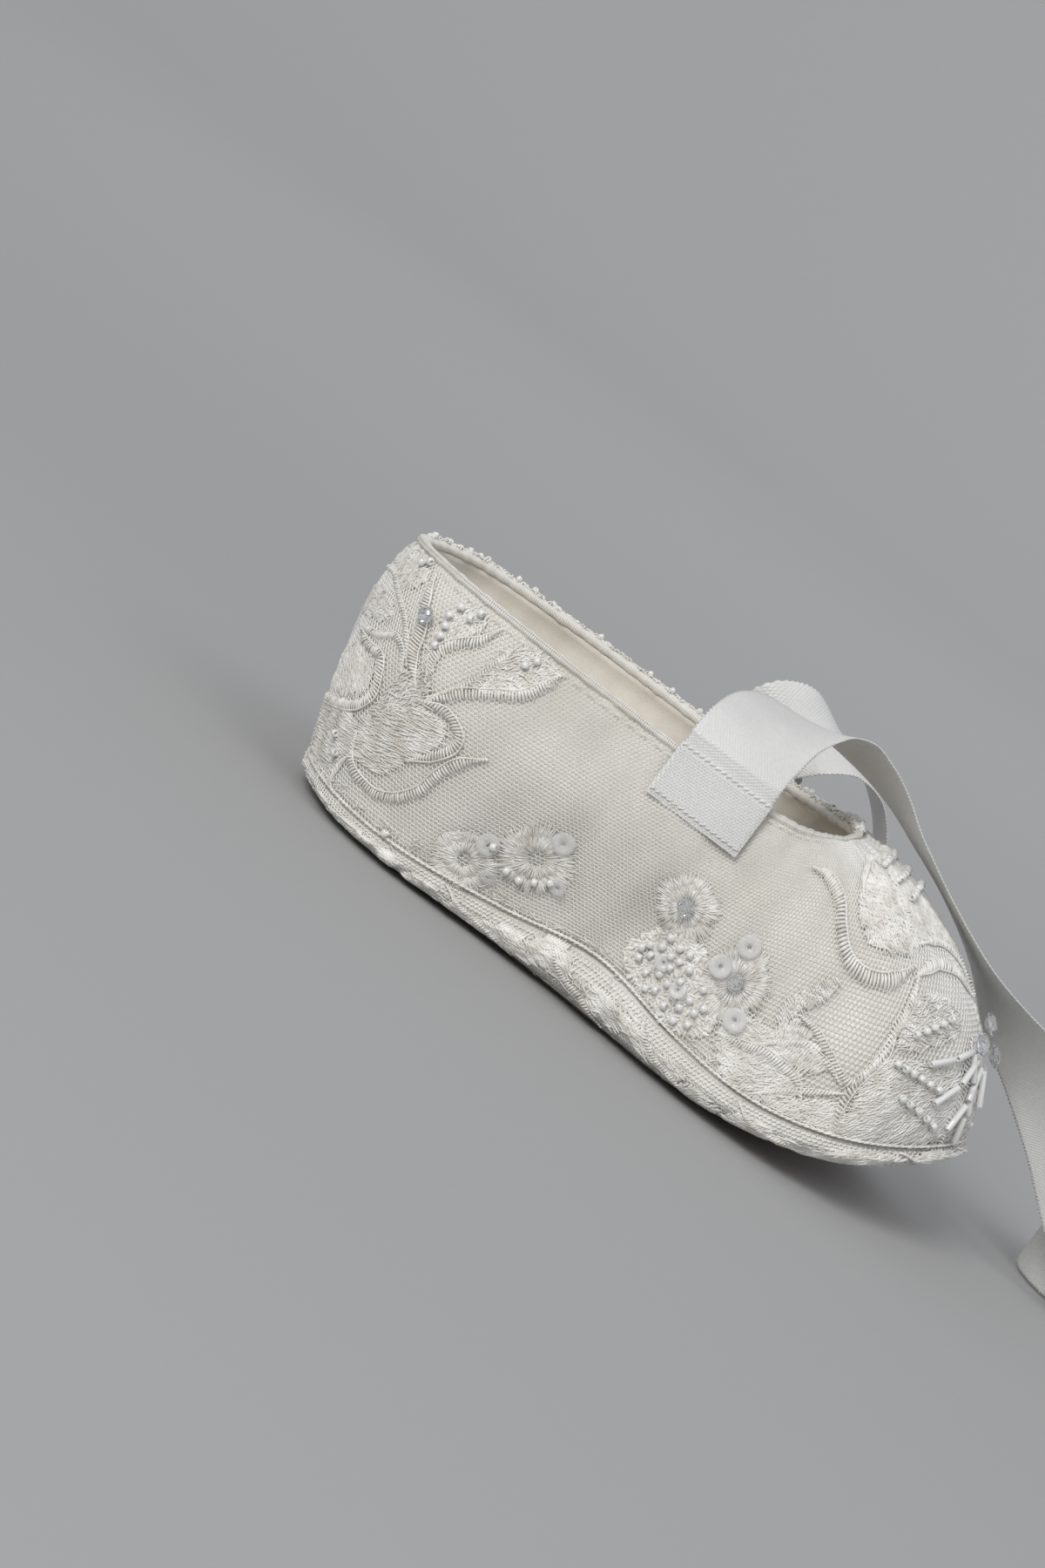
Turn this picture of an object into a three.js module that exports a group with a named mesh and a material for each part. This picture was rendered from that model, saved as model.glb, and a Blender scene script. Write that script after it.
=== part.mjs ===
// Ribbon-tie ballet slipper for a baby, in embroidered tulle over satin.
// Millimetres, +Z up, +X towards the toe. The origin is on the flat underside of the sole,
// the wearer's right side of the slipper is at -Y, and the slipper stands on its sole.
import * as THREE from 'three';
import { mergeVertices } from 'three/addons/utils/BufferGeometryUtils.js';

// ---- driving dimensions ----
const SOLE_LENGTH = 108;
const SOLE_WIDTH = 50;
const COLLAR_HEIGHT = 40;
const HEEL_BACK_X = -55;
const TOE_SPRING = 11;
const HEEL_SPRING = 1;
const TREAD_FRONT_X = 8;
const TREAD_BACK_X = -38;
// Facets are longer on a bigger last, so the gaps between its layers grow with it.
const DRAWN_LENGTH = 108;
const DRAWN_WIDTH = 50;
const FACET_GROWTH = Math.max(1, SOLE_LENGTH / DRAWN_LENGTH, SOLE_WIDTH / DRAWN_WIDTH);
const CLEARANCE = 0.3 * FACET_GROWTH ** 2;

const SATIN_THICKNESS = 0.8;
const STIFFENER_THICKNESS = 0.6;
const STIFFENER_GAP = 0.65 * FACET_GROWTH ** 2;
const LINING_THICKNESS = 0.6;
const TULLE_THICKNESS = 0.25;
const APPLIQUE_THICKNESS = 0.8;
const SOLE_PATCH_THICKNESS = 0.5;
const SOLE_PATCH_INSET = 5.5;
const SOLE_COVER_THICKNESS = 0.7;
const SOLE_LACE_THICKNESS = 0.5;
const SOCK_THICKNESS = 0.7;
const SOCK_CROWN = 4.8;
const BINDING_WIDTH = 4;
const BINDING_HEIGHT = 1.5;
const SEAM_THREAD_RADIUS = 0.35;

const RIBBON_WIDTH = 15;
const RIBBON_THICKNESS = 0.3;
const RIBBON_LENGTH = 210;
const DRAWN_ROOT_X = -3.5;
const RIBBON_ROOT_X = HEEL_BACK_X + SOLE_LENGTH * (DRAWN_ROOT_X - HEEL_BACK_X) / DRAWN_LENGTH;
const SEWN_END_HEIGHT = 9;
const TACK_HEIGHT = 4.6;
const TACK_RADIUS = 0.3;
const RIBBON_LIFT = 0.5;

const SMALL_CRYSTAL = 2.4;
const LARGE_CRYSTAL = 3;

// ---- colours ----
const IVORY_SATIN = 0xe6e4de;
const IVORY_LINING = 0xdedad0;
const WHITE_TULLE = 0xefeeea;
const WHITE_THREAD = 0xf2f1ed;
const WHITE_RIBBON = 0xebebe8;
const BLUSH_SUEDE = 0xcdb9b2;
const FELT = 0xd9d6cf;
const CLEAR_GLASS = 0xe9eef2;

// ---- the last: stations from the heel's back to the toe's tip ----
// sole: share of the length and width; seam: height of the sole's padding at its edge;
// top: the collar's or throat's edge as shares; dome: 0 for an upright wall, 1 for the vamp's
// quarter round; bulge: how far the wall swells.
const STATIONS = [
  { sole: [0.000, 0.000], seam: 3.0, top: [-0.046, 0.000, 0.980], dome: 0.00, bulge: 2.6 },
  { sole: [0.066, 0.260], seam: 3.4, top: [0.026, 0.270, 0.995], dome: 0.00, bulge: 2.8 },
  { sole: [0.194, 0.372], seam: 4.0, top: [0.176, 0.384, 0.995], dome: 0.00, bulge: 3.0 },
  { sole: [0.343, 0.368], seam: 6.0, top: [0.324, 0.404, 0.990], dome: 0.00, bulge: 3.0 },
  { sole: [0.481, 0.406], seam: 9.0, top: [0.472, 0.400, 0.985], dome: 0.05, bulge: 2.8 },
  { sole: [0.620, 0.472], seam: 7.2, top: [0.583, 0.356, 1.000], dome: 0.35, bulge: 2.0 },
  { sole: [0.757, 0.500], seam: 5.6, top: [0.635, 0.240, 1.028], dome: 0.80, bulge: 0.8 },
  { sole: [0.903, 0.402], seam: 5.2, top: [0.646, 0.110, 1.040], dome: 1.00, bulge: 0.2 },
  { sole: [1.000, 0.000], seam: 4.5, top: [0.648, 0.000, 1.040], dome: 1.00, bulge: 0.0 },
];
const LAST_STATION = STATIONS.length - 1;
const BULGE_SKEW = 1.3;
const DOME_POWER = 0.9;
const TOE_SPRING_POWER = 2.4;
const TOE_TIP_X = HEEL_BACK_X + SOLE_LENGTH;
const AROUND = 40;

// Layers of the upper, as offsets outward from the satin's face.
const SATIN_IN = -SATIN_THICKNESS;
const STIFFENER_OUT = SATIN_IN - STIFFENER_GAP;
const STIFFENER_IN = STIFFENER_OUT - STIFFENER_THICKNESS;
const LINING_OUT = STIFFENER_IN - STIFFENER_GAP;
const LINING_IN = LINING_OUT - LINING_THICKNESS;
const TULLE_IN = CLEARANCE + 0.1;
const TULLE_OUT = TULLE_IN + TULLE_THICKNESS;
const APPLIQUE_IN = TULLE_OUT + CLEARANCE + 0.1;
const APPLIQUE_OUT = APPLIQUE_IN + APPLIQUE_THICKNESS;
const LAYER_TOP = 0.966;

/** Height of the sole's underside, flat at the tread and sprung at toe and heel. */
function rocker(x) {
  const toe = Math.max(0, x - TREAD_FRONT_X) / (TOE_TIP_X - TREAD_FRONT_X);
  const heel = Math.max(0, TREAD_BACK_X - x) / (TREAD_BACK_X - HEEL_BACK_X);
  return TOE_SPRING * toe ** TOE_SPRING_POWER + HEEL_SPRING * heel ** 2;
}

function stationValues(index) {
  const mirrored = index < 0 || index > LAST_STATION;
  const inside = index < 0 ? -index : index > LAST_STATION ? 2 * LAST_STATION - index : index;
  const { sole, seam, top, dome, bulge } = STATIONS[inside];
  const side = mirrored ? -1 : 1;
  const x = HEEL_BACK_X + SOLE_LENGTH * sole[0];
  return [
    x, side * SOLE_WIDTH * sole[1], seam,
    HEEL_BACK_X + SOLE_LENGTH * top[0], side * SOLE_WIDTH * top[1], COLLAR_HEIGHT * top[2],
    dome, bulge,
  ];
}

function catmullRom(a, b, c, d, t) {
  const t2 = t * t;
  const t3 = t2 * t;
  return 0.5 * (2 * b + (c - a) * t + (2 * a - 5 * b + 4 * c - d) * t2 + (3 * b - a - 3 * c + d) * t3);
}

/** The last at u: 0 is the heel's back, 0.5 the toe's tip, and the right side (-y) comes first. */
function station(u) {
  const turn = ((u % 1) + 1) % 1;
  const left = turn > 0.5;
  const along = (left ? 1 - turn : turn) * 2 * LAST_STATION;
  const index = Math.min(Math.floor(along), LAST_STATION - 1);
  const rows = [-1, 0, 1, 2].map((step) => stationValues(index + step));
  const values = rows[0].map((_, k) => catmullRom(rows[0][k], rows[1][k], rows[2][k], rows[3][k], along - index));
  const side = left ? 1 : -1;
  return {
    x: values[0], y: side * values[1], seam: values[2],
    topX: values[3], topY: side * values[4], topZ: values[5],
    dome: values[6], bulge: values[7],
  };
}

/** Unit vector pointing out of the sole's outline, in plan. */
function planNormal(u) {
  const before = station(u - 0.001);
  const after = station(u + 0.001);
  const run = new THREE.Vector2(after.x - before.x, after.y - before.y).normalize();
  return new THREE.Vector2(run.y, -run.x);
}

/** The satin's outer face: v is 0 at the sole seam and 1 at the collar or throat. */
function satinFace(u, v) {
  const s = station(u);
  const normal = planNormal(u);
  const phi = v * Math.PI / 2;
  const inward = (1 - s.dome) * v + s.dome * (1 - Math.cos(phi)) ** DOME_POWER;
  const upward = (1 - s.dome) * v + s.dome * Math.sin(phi);
  const swell = s.bulge * Math.sin(Math.PI * v ** BULGE_SKEW);
  const seamZ = rocker(s.x) + s.seam;
  return new THREE.Vector3(
    s.x + (s.topX - s.x) * inward + normal.x * swell,
    s.y + (s.topY - s.y) * inward + normal.y * swell,
    seamZ + (s.topZ - seamZ) * upward,
  );
}

/** Directions on the satin's face: around the foot, up the wall and straight out. */
function faceAxes(u, v) {
  const low = Math.max(v - 0.004, 0.001);
  const high = Math.min(v + 0.004, 0.999);
  const around = satinFace(u + 0.002, v).sub(satinFace(u - 0.002, v)).divideScalar(0.004);
  const up = satinFace(u, high).sub(satinFace(u, low)).divideScalar(high - low);
  const out = around.clone().cross(up).normalize();
  return { around, up, out };
}

function onUpper(u, v, offset) {
  return satinFace(u, v).addScaledVector(faceAxes(u, v).out, offset);
}

/** A point of the sole: share is 0 on the middle line and 1 at the edge, less the inset. */
function onSole(u, share, inset, height) {
  const s = station(u);
  const normal = planNormal(u);
  const middleX = THREE.MathUtils.clamp(s.x, HEEL_BACK_X + 19, TOE_TIP_X - 25);
  const x = middleX + (s.x - normal.x * inset - middleX) * share;
  const y = (s.y - normal.y * inset) * share;
  return new THREE.Vector3(x, y, rocker(x) + height);
}

// ---- closed bodies ----
function closedGeometry(triangles) {
  const positions = triangles.flatMap((corner) => [corner.x, corner.y, corner.z]);
  const soup = new THREE.BufferGeometry();
  soup.setAttribute('position', new THREE.Float32BufferAttribute(positions, 3));
  const welded = mergeVertices(soup, 1e-4);
  const source = welded.index.array;
  const kept = [];
  for (let i = 0; i < source.length; i += 3) {
    const [a, b, c] = [source[i], source[i + 1], source[i + 2]];
    if (a !== b && b !== c && c !== a) kept.push(a, b, c);
  }
  if (signedVolume(welded.attributes.position, kept) < 0) kept.reverse();
  welded.setIndex(kept);
  welded.computeVertexNormals();
  return welded;
}

function signedVolume(position, index) {
  const corner = (k) => new THREE.Vector3().fromBufferAttribute(position, index[k]);
  let volume = 0;
  for (let k = 0; k < index.length; k += 3) {
    volume += corner(k).dot(corner(k + 1).cross(corner(k + 2))) / 6;
  }
  return volume;
}

/** Skins a grid of points. A row that isn't a loop is closed by flat ends across its profile. */
function skin(pointAt, rows, columns, { rowsLoop, columnsLoop }) {
  const corner = (i, j) => pointAt(rowsLoop ? i % rows : i, columnsLoop ? j % columns : j);
  const triangles = [];
  for (let i = 0; i < rows; i += 1) {
    for (let j = 0; j < columns; j += 1) {
      const [a, b, c, d] = [corner(i, j), corner(i + 1, j), corner(i + 1, j + 1), corner(i, j + 1)];
      triangles.push(a, b, c, a, c, d);
    }
  }
  if (!rowsLoop) {
    for (let j = 0; j < columns / 2 - 1; j += 1) {
      const mate = columns - 1 - j;
      for (const end of [0, rows]) {
        const [a, b, c, d] = [corner(end, j), corner(end, j + 1), corner(end, mate - 1), corner(end, mate)];
        if (end === 0) triangles.push(a, b, c, a, c, d);
        else triangles.push(a, c, b, a, d, c);
      }
    }
  }
  return closedGeometry(triangles);
}

/** A ring of fabric around the foot, between two offsets. */
function upperRing(inner, outer, steps) {
  const profile = [];
  for (let k = 0; k <= steps; k += 1) profile.push([k / steps * LAYER_TOP, outer]);
  for (let k = steps; k >= 0; k -= 1) profile.push([k / steps * LAYER_TOP, inner]);
  const pointAt = (i, j) => onUpper(i / AROUND, profile[j][0], profile[j][1]);
  return skin(pointAt, AROUND, profile.length, { rowsLoop: true, columnsLoop: true });
}

/** A closed ring or slab of the sole, from a profile of [share, inset, height(u)] rows. */
function soleBody(profile, columnsLoop) {
  const pointAt = (i, j) => {
    const [share, inset, height] = profile[j];
    return onSole(i / AROUND, share, inset, height(i / AROUND));
  };
  const columns = columnsLoop ? profile.length : profile.length - 1;
  return skin(pointAt, AROUND, columns, { rowsLoop: true, columnsLoop });
}

/** A thin piece lying on the upper, with its outline as a radius in millimetres at each angle. */
function laidPatch(u, v, outline, inner, outer, { steps = 18, rings = 2 } = {}) {
  const axes = faceAxes(u, v);
  const perAround = 1 / axes.around.length();
  const perUp = 1 / axes.up.length();
  const pointAt = (i, j) => {
    const angle = i / steps * 2 * Math.PI;
    const ring = j <= rings ? j : 2 * rings + 1 - j;
    const reach = outline(angle) * ring / rings;
    const du = reach * Math.cos(angle) * perAround;
    const dv = reach * Math.sin(angle) * perUp;
    const high = THREE.MathUtils.clamp(v + dv, 0.01, LAYER_TOP);
    return onUpper(u + du, high, j <= rings ? inner : outer);
  };
  return skin(pointAt, steps, 2 * rings + 1, { rowsLoop: true, columnsLoop: false });
}

/** A flat strip that follows stations of [centre, width direction]. */
function strip(stations, width, thickness) {
  const centres = stations.map((s) => s.centre);
  const sections = stations.map(({ centre, across }, k) => {
    const next = centres[Math.min(k + 1, centres.length - 1)];
    const last = centres[Math.max(k - 1, 0)];
    const along = next.clone().sub(last).normalize();
    const wide = across.clone().addScaledVector(along, -across.dot(along)).normalize();
    const thick = along.clone().cross(wide).normalize();
    const at = (w, t) => centre.clone().addScaledVector(wide, w * width / 2)
      .addScaledVector(thick, t * thickness / 2);
    return [at(-1, -1), at(1, -1), at(1, 1), at(-1, 1)];
  });
  const pointAt = (i, j) => sections[i][j];
  return skin(pointAt, sections.length - 1, 4, { rowsLoop: false, columnsLoop: true });
}

/** A round thread along a path; a closed path makes a loop. */
function thread(points, radius, closed, sides = 6) {
  const count = points.length;
  const sections = points.map((point, k) => {
    const next = points[closed ? (k + 1) % count : Math.min(k + 1, count - 1)];
    const last = points[closed ? (k + count - 1) % count : Math.max(k - 1, 0)];
    const along = next.clone().sub(last).normalize();
    const side = along.clone().cross(new THREE.Vector3(0, 0, 1)).normalize();
    const up = side.clone().cross(along);
    return Array.from({ length: sides }, (_, j) => {
      const angle = j / sides * 2 * Math.PI;
      return point.clone().addScaledVector(side, radius * Math.cos(angle))
        .addScaledVector(up, radius * Math.sin(angle));
    });
  });
  const rows = closed ? count : count - 1;
  return skin((i, j) => sections[i][j], rows, sides, { rowsLoop: closed, columnsLoop: true });
}

function smoothStations(list, stepsBetween) {
  const centres = new THREE.CatmullRomCurve3(list.map(([p]) => new THREE.Vector3(...p)));
  const across = new THREE.CatmullRomCurve3(list.map(([, w]) => new THREE.Vector3(...w).normalize()));
  const count = (list.length - 1) * stepsBetween;
  return Array.from({ length: count + 1 }, (_, k) => ({
    centre: centres.getPoint(k / count),
    across: across.getPoint(k / count),
  }));
}

/** Keeps the stations up to a length, and ends the strip exactly there. */
function trimmed(stations, length) {
  const kept = [stations[0]];
  let used = 0;
  for (let k = 1; k < stations.length; k += 1) {
    const step = stations[k].centre.distanceTo(stations[k - 1].centre);
    if (used + step >= length) {
      const rest = (length - used) / step;
      const centre = stations[k - 1].centre.clone().lerp(stations[k].centre, rest);
      kept.push({ centre, across: stations[k].across });
      return kept;
    }
    used += step;
    kept.push(stations[k]);
  }
  return kept;
}

// ---- sole ----
const COVER_BOTTOM = SOLE_PATCH_THICKNESS + CLEARANCE;
const COVER_INSIDE = COVER_BOTTOM + SOLE_COVER_THICKNESS;
const SEAM_GAP = 0.35;
const EDGE_SWELL = 0.6;
const seamHeight = (u) => station(u).seam;
const level = (height) => () => height;
const share = (part, below = 0) => (u) => seamHeight(u) * part - below;

const outsolePatch = () => soleBody([
  [0, SOLE_PATCH_INSET, level(0)],
  [0.5, SOLE_PATCH_INSET, level(0)],
  [1, SOLE_PATCH_INSET, level(0)],
  [1, SOLE_PATCH_INSET, level(SOLE_PATCH_THICKNESS)],
  [0.5, SOLE_PATCH_INSET, level(SOLE_PATCH_THICKNESS)],
  [0, SOLE_PATCH_INSET, level(SOLE_PATCH_THICKNESS)],
], false);

const soleCover = () => {
  const wall = SOLE_COVER_THICKNESS;
  return soleBody([
    [0, 3, level(COVER_BOTTOM)],
    [0.55, 3, level(COVER_BOTTOM)],
    [1, 3, level(COVER_BOTTOM)],
    [1, 0.6, share(0.3, -0.2)],
    [1, -EDGE_SWELL, share(0.62)],
    [1, 0, share(1, SEAM_GAP)],
    [1, wall, share(1, SEAM_GAP)],
    [1, wall - EDGE_SWELL, share(0.64)],
    [1, wall + 1, share(0.3, -0.7)],
    [1, 3.4, level(COVER_INSIDE)],
    [0.55, 3.4, level(COVER_INSIDE)],
    [0, 3.4, level(COVER_INSIDE)],
  ], false);
};

const soleLaceBand = () => {
  const out = EDGE_SWELL + CLEARANCE;
  const wall = SOLE_LACE_THICKNESS;
  return soleBody([
    [1, 0.9 - out - 0.1, share(0.26, -0.2)],
    [1, 0.9 - out - 0.1 - wall, share(0.26, -0.1)],
    [1, -out - wall, share(0.6)],
    [1, -0.5 - wall, share(0.86)],
    [1, -0.5, share(0.86)],
    [1, -out, share(0.62)],
  ], true);
};

const soleWadding = () => {
  const low = COVER_INSIDE + CLEARANCE;
  const top = SOCK_CROWN - CLEARANCE;
  return soleBody([
    [0, 4, level(low)],
    [0.6, 4, level(low)],
    [1, 3.8, level(low)],
    [1, 2.4, share(0.62, -0.4)],
    [1, 3.6, share(0.75, -0.3)],
    [0.6, 4, level(top)],
    [0, 4, level(top)],
  ], false);
};

const sockLining = () => soleBody([
  [0, 4.4, level(SOCK_CROWN)],
  [0.6, 4.4, level(SOCK_CROWN)],
  [1, 4.2, share(0.75, -1)],
  [1, 4.2, share(0.75, -1 - SOCK_THICKNESS)],
  [0.6, 4.4, level(SOCK_CROWN + SOCK_THICKNESS)],
  [0, 4.4, level(SOCK_CROWN + SOCK_THICKNESS)],
], false);

const SEAM_STEPS = 60;
const seamThread = () => {
  const points = Array.from({ length: SEAM_STEPS }, (_, k) => {
    const u = k / SEAM_STEPS;
    return onSole(u, 1, -(TULLE_OUT + CLEARANCE + SEAM_THREAD_RADIUS + 0.1), seamHeight(u) + 0.3);
  });
  return thread(points, SEAM_THREAD_RADIUS, true, 4);
};

// ---- upper ----
const roundedPanel = (halfAround, halfUp) => (angle) => {
  const power = 4;
  const a = Math.abs(Math.cos(angle)) / halfAround;
  const b = Math.abs(Math.sin(angle)) / halfUp;
  return (a ** power + b ** power) ** (-1 / power);
};

const heelCounter = () => laidPatch(0, 0.42, roundedPanel(27, 12), STIFFENER_IN, STIFFENER_OUT,
  { steps: 28, rings: 5 });
const toePuff = () => laidPatch(0.5, 0.4, roundedPanel(15, 13), STIFFENER_IN, STIFFENER_OUT,
  { steps: 28, rings: 5 });

/** The folded satin edging that caps the layers all round the collar and the throat. */
const toplineBinding = () => {
  const middle = (TULLE_OUT + LINING_IN) / 2;
  const sides = 8;
  const pointAt = (i, j) => {
    const u = i / AROUND;
    const axes = faceAxes(u, 1);
    const angle = -j / sides * 2 * Math.PI;
    const offset = middle + BINDING_WIDTH / 2 * Math.cos(angle);
    const rise = BINDING_HEIGHT / 2 * Math.sin(angle);
    return satinFace(u, 1).addScaledVector(axes.out, offset)
      .addScaledVector(axes.up.clone().normalize(), rise);
  };
  return skin(pointAt, AROUND, sides, { rowsLoop: true, columnsLoop: true });
};

// ---- ribbons ----
const HINGE_Z = COLLAR_HEIGHT + 1.6;
const SEWN_OFFSET = APPLIQUE_IN + RIBBON_THICKNESS / 2;
const SIDE_U = 0.255;

/** The sewn end lies flat on the wall and stands up past the collar's edge. */
function sewnEnd(side) {
  const stations = [0, 0.25, 0.5, 0.75, 1].map((part) => {
    const z = HINGE_Z - CLEARANCE - SEWN_END_HEIGHT * (1 - part);
    return { centre: new THREE.Vector3(RIBBON_ROOT_X, side * wallY(z), z), across: new THREE.Vector3(side, 0, 0) };
  });
  return strip(stations, RIBBON_WIDTH, RIBBON_THICKNESS);
}

/** How far out the ribbon's middle stands beside the wall, at a height. */
function wallY(z) {
  const top = station(SIDE_U).topZ;
  const seamZ = station(SIDE_U).seam;
  const v = THREE.MathUtils.clamp((z - seamZ) / (top - seamZ), 0, 1);
  const proud = Math.max(Math.abs(onUpper(SIDE_U, v, SEWN_OFFSET).y), collarY());
  return proud + 0.1;
}

const collarY = () => Math.abs(satinFace(SIDE_U, 1).y) + TULLE_OUT + CLEARANCE + 0.4;

/** The tacking thread, in running stitches across the sewn end. */
function tackThread(side) {
  const z = HINGE_Z - SEWN_END_HEIGHT + TACK_HEIGHT;
  const out = wallY(z) + RIBBON_THICKNESS / 2 + CLEARANCE + TACK_RADIUS;
  const length = RIBBON_WIDTH - 1;
  const steps = 24;
  const points = Array.from({ length: steps + 1 }, (_, k) => new THREE.Vector3(
    RIBBON_ROOT_X - length / 2 + length * k / steps,
    side * (out + 0.12 * (1 + Math.sin(k * Math.PI / 2))),
    z,
  ));
  return thread(points, TACK_RADIUS, false, 5);
}

const ON_EDGE = RIBBON_WIDTH / 2 + RIBBON_LIFT;

// The right ribbon arches over the throat, lies on the vamp and curls on its edge past the toe.
const RIGHT_ROUTE = [
  [[-3.5, -21.4, 41.9], [1, 0, 0]],
  [[-3.5, -21.0, 43.2], [1, 0, 0]],
  [[-3.3, -18.4, 46.2], [0.98, -0.1, -0.05]],
  [[-2.4, -12.6, 49.3], [0.93, -0.3, 0.05]],
  [[0.4, -4.8, 51.2], [0.82, -0.54, 0.15]],
  [[6.0, 1.0, 51.4], [0.45, -0.82, 0.3]],
  [[11.4, 4.0, 50.2], [0.18, -0.92, 0.34]],
  [[17.0, 6.0, 48.1], [0.06, -0.94, 0.32]],
  [[23.4, 7.2, 44.9], [0.05, -0.97, 0.22]],
  [[31.8, 8.3, 40.8], [0.03, -0.99, 0.14]],
  [[40.2, 8.6, 36.5], [0, -0.96, 0.26]],
  [[49.5, 9.0, 31.6], [0, -0.78, 0.62]],
  [[58.5, 9.6, 27.8], [0, -0.6, 0.8]],
  [[67.5, 10.6, 22.6], [0.04, -0.42, 0.9]],
  [[77.5, 12.5, 14.8], [0.06, -0.2, 0.97]],
  [[86.0, 15.0, ON_EDGE + 1.6], [0, -0.05, 1]],
  [[92.0, 20.0, ON_EDGE], [0, 0, 1]],
];
const CURL_RADIUS = 12.5;
const CURL_START = -Math.PI / 4;
const CURL_PITCH = 3.6;
const CURL_STEPS = 20;

/** The ribbon's end, wound on its edge in a loose spiral from a point on. */
function curl([x, y, z]) {
  const middle = [x - CURL_RADIUS * Math.cos(CURL_START), y - CURL_RADIUS * Math.sin(CURL_START)];
  return Array.from({ length: 2.5 * CURL_STEPS }, (_, k) => {
    const turn = (k + 2) / CURL_STEPS;
    const angle = CURL_START + 2 * Math.PI * turn;
    const radius = CURL_RADIUS - CURL_PITCH * turn;
    const centre = new THREE.Vector3(middle[0] + radius * Math.cos(angle),
      middle[1] + radius * Math.sin(angle), z);
    return { centre, across: new THREE.Vector3(0, 0, 1) };
  });
}

// The left ribbon rises, falls down the far side and lies folded back towards the heel.
const LEFT_ROUTE = [
  [[-3.5, 21.4, 41.9], [-1, 0, 0]],
  [[-3.4, 21.9, 43.4], [-1, 0.06, 0.12]],
  [[-1.9, 22.0, 45.6], [-0.94, 0.1, 0.33]],
  [[2.0, 23.6, 47.6], [-0.84, 0.35, 0.42]],
  [[7.0, 26.6, 47.7], [-0.7, 0.68, 0.25]],
  [[13.0, 30.6, 44.9], [-0.45, 0.89, 0.05]],
  [[18.5, 34.4, 38.5], [-0.25, 0.97, 0]],
  [[22.5, 37.2, 29.0], [-0.1, 1, 0]],
  [[25.0, 38.8, 18.0], [0, 1, 0]],
  [[26.2, 39.4, 8.0], [0, 1, 0]],
  [[23.8, 39.8, 2.4], [0, 1, 0]],
  [[18.0, 40.2, 0.8], [0, 1, 0]],
  [[8.0, 40.6, 0.8], [0, 1, 0]],
  [[-2.0, 41.0, 3.0], [0, 1, 0]],
  [[-13.0, 41.0, 0.9], [0, 1, 0]],
  [[-25.0, 40.6, 3.6], [0, 1, 0]],
  [[-36.0, 39.8, 0.9], [0, 1, 0]],
  [[-46.0, 39.2, 0.9], [0, 1, 0]],
  [[-53.5, 38.9, 3.4], [0, 1, 0]],
  [[-56.4, 38.8, 7.6], [0, 1, 0]],
  [[-53.5, 38.9, 11.6], [0, 1, 0]],
  [[-46.0, 39.2, 12.4], [0, 1, 0]],
  [[-36.0, 39.8, 10.4], [0, 1, 0]],
  [[-25.0, 40.4, 8.4], [0, 1, 0]],
  [[-13.0, 40.8, 7.4], [0, 1, 0]],
  [[-2.0, 41.0, 8.2], [0, 1, 0]],
  [[8.0, 41.0, 7.0], [0, 1, 0]],
];

const FREE_LENGTH = RIBBON_LENGTH - SEWN_END_HEIGHT;
const DRAWN_RIBBON = 15;
const EDGE_DROP = 0.3;
const ROUTE_START = [21.4, 41.6];
const SEATED_POINTS = 9;
const STEPS_BETWEEN_POINTS = 2;

/** Ties a route to the slipper: it starts at the hinge and keeps its place beside the shoe. */
function seated(route, side) {
  const stretch = SOLE_LENGTH / DRAWN_LENGTH;
  const widen = SOLE_WIDTH / DRAWN_WIDTH;
  const shiftY = wallY(HINGE_Z) - ROUTE_START[0] * widen;
  const shiftZ = HINGE_Z - ROUTE_START[1];
  const rise = Math.max(0, RIBBON_WIDTH - DRAWN_RIBBON) * EDGE_DROP;
  return route.map(([[x, y, z], across], k) => {
    const hold = Math.max(0, 1 - k / SEATED_POINTS);
    const along = RIBBON_ROOT_X + (x - DRAWN_ROOT_X) * stretch;
    const lift = (shiftZ + (k > 1 ? rise : 0)) * hold;
    return [[along, y * widen + side * shiftY * hold, z + lift], across];
  });
}

const rightRibbon = () => {
  const route = seated(RIGHT_ROUTE, -1);
  const stations = [...smoothStations(route, STEPS_BETWEEN_POINTS), ...curl(route.at(-1)[0])];
  return strip(trimmed(stations, FREE_LENGTH), RIBBON_WIDTH, RIBBON_THICKNESS);
};

const leftRibbon = () => {
  const stations = smoothStations(seated(LEFT_ROUTE, 1), STEPS_BETWEEN_POINTS);
  return strip(trimmed(stations, FREE_LENGTH), RIBBON_WIDTH, RIBBON_THICKNESS);
};

// ---- embroidered motifs ----
const flower = (radius, petals) => (angle) => radius * (0.82 + 0.18 * Math.cos(petals * angle));
const leaf = (length, width) => (angle) => {
  const a = Math.cos(angle) / length;
  const b = Math.sin(angle) / width;
  return 1 / Math.sqrt(a * a + b * b) * (0.9 + 0.1 * Math.cos(2 * angle));
};
const scalloped = (halfAround, halfUp, scallops) => (angle) => {
  const round = roundedPanel(halfAround, halfUp)(angle);
  return round * (0.95 + 0.05 * Math.cos(scallops * angle));
};
const motif = (u, v, outline, detail) => laidPatch(u, v, outline, APPLIQUE_IN, APPLIQUE_OUT, detail);

// Each motif of one side, as [name, u, v, outline]; the other side mirrors it.
const SIDE_MOTIFS = [
  ['flower_heel_back', 0.153, 0.15, flower(4.3, 5)],
  ['flower_heel_front', 0.193, 0.28, flower(4.5, 6)],
  ['flower_side_back', 0.280, 0.42, flower(4.8, 5)],
  ['flower_side_front', 0.329, 0.27, flower(4.8, 6)],
  ['bead_cluster', 0.287, 0.12, leaf(3.4, 2.6)],
  ['leaf_sprig', 0.378, 0.19, leaf(6, 4)],
  ['vamp_petal', 0.425, 0.66, leaf(4.6, 6.2)],
];

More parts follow.
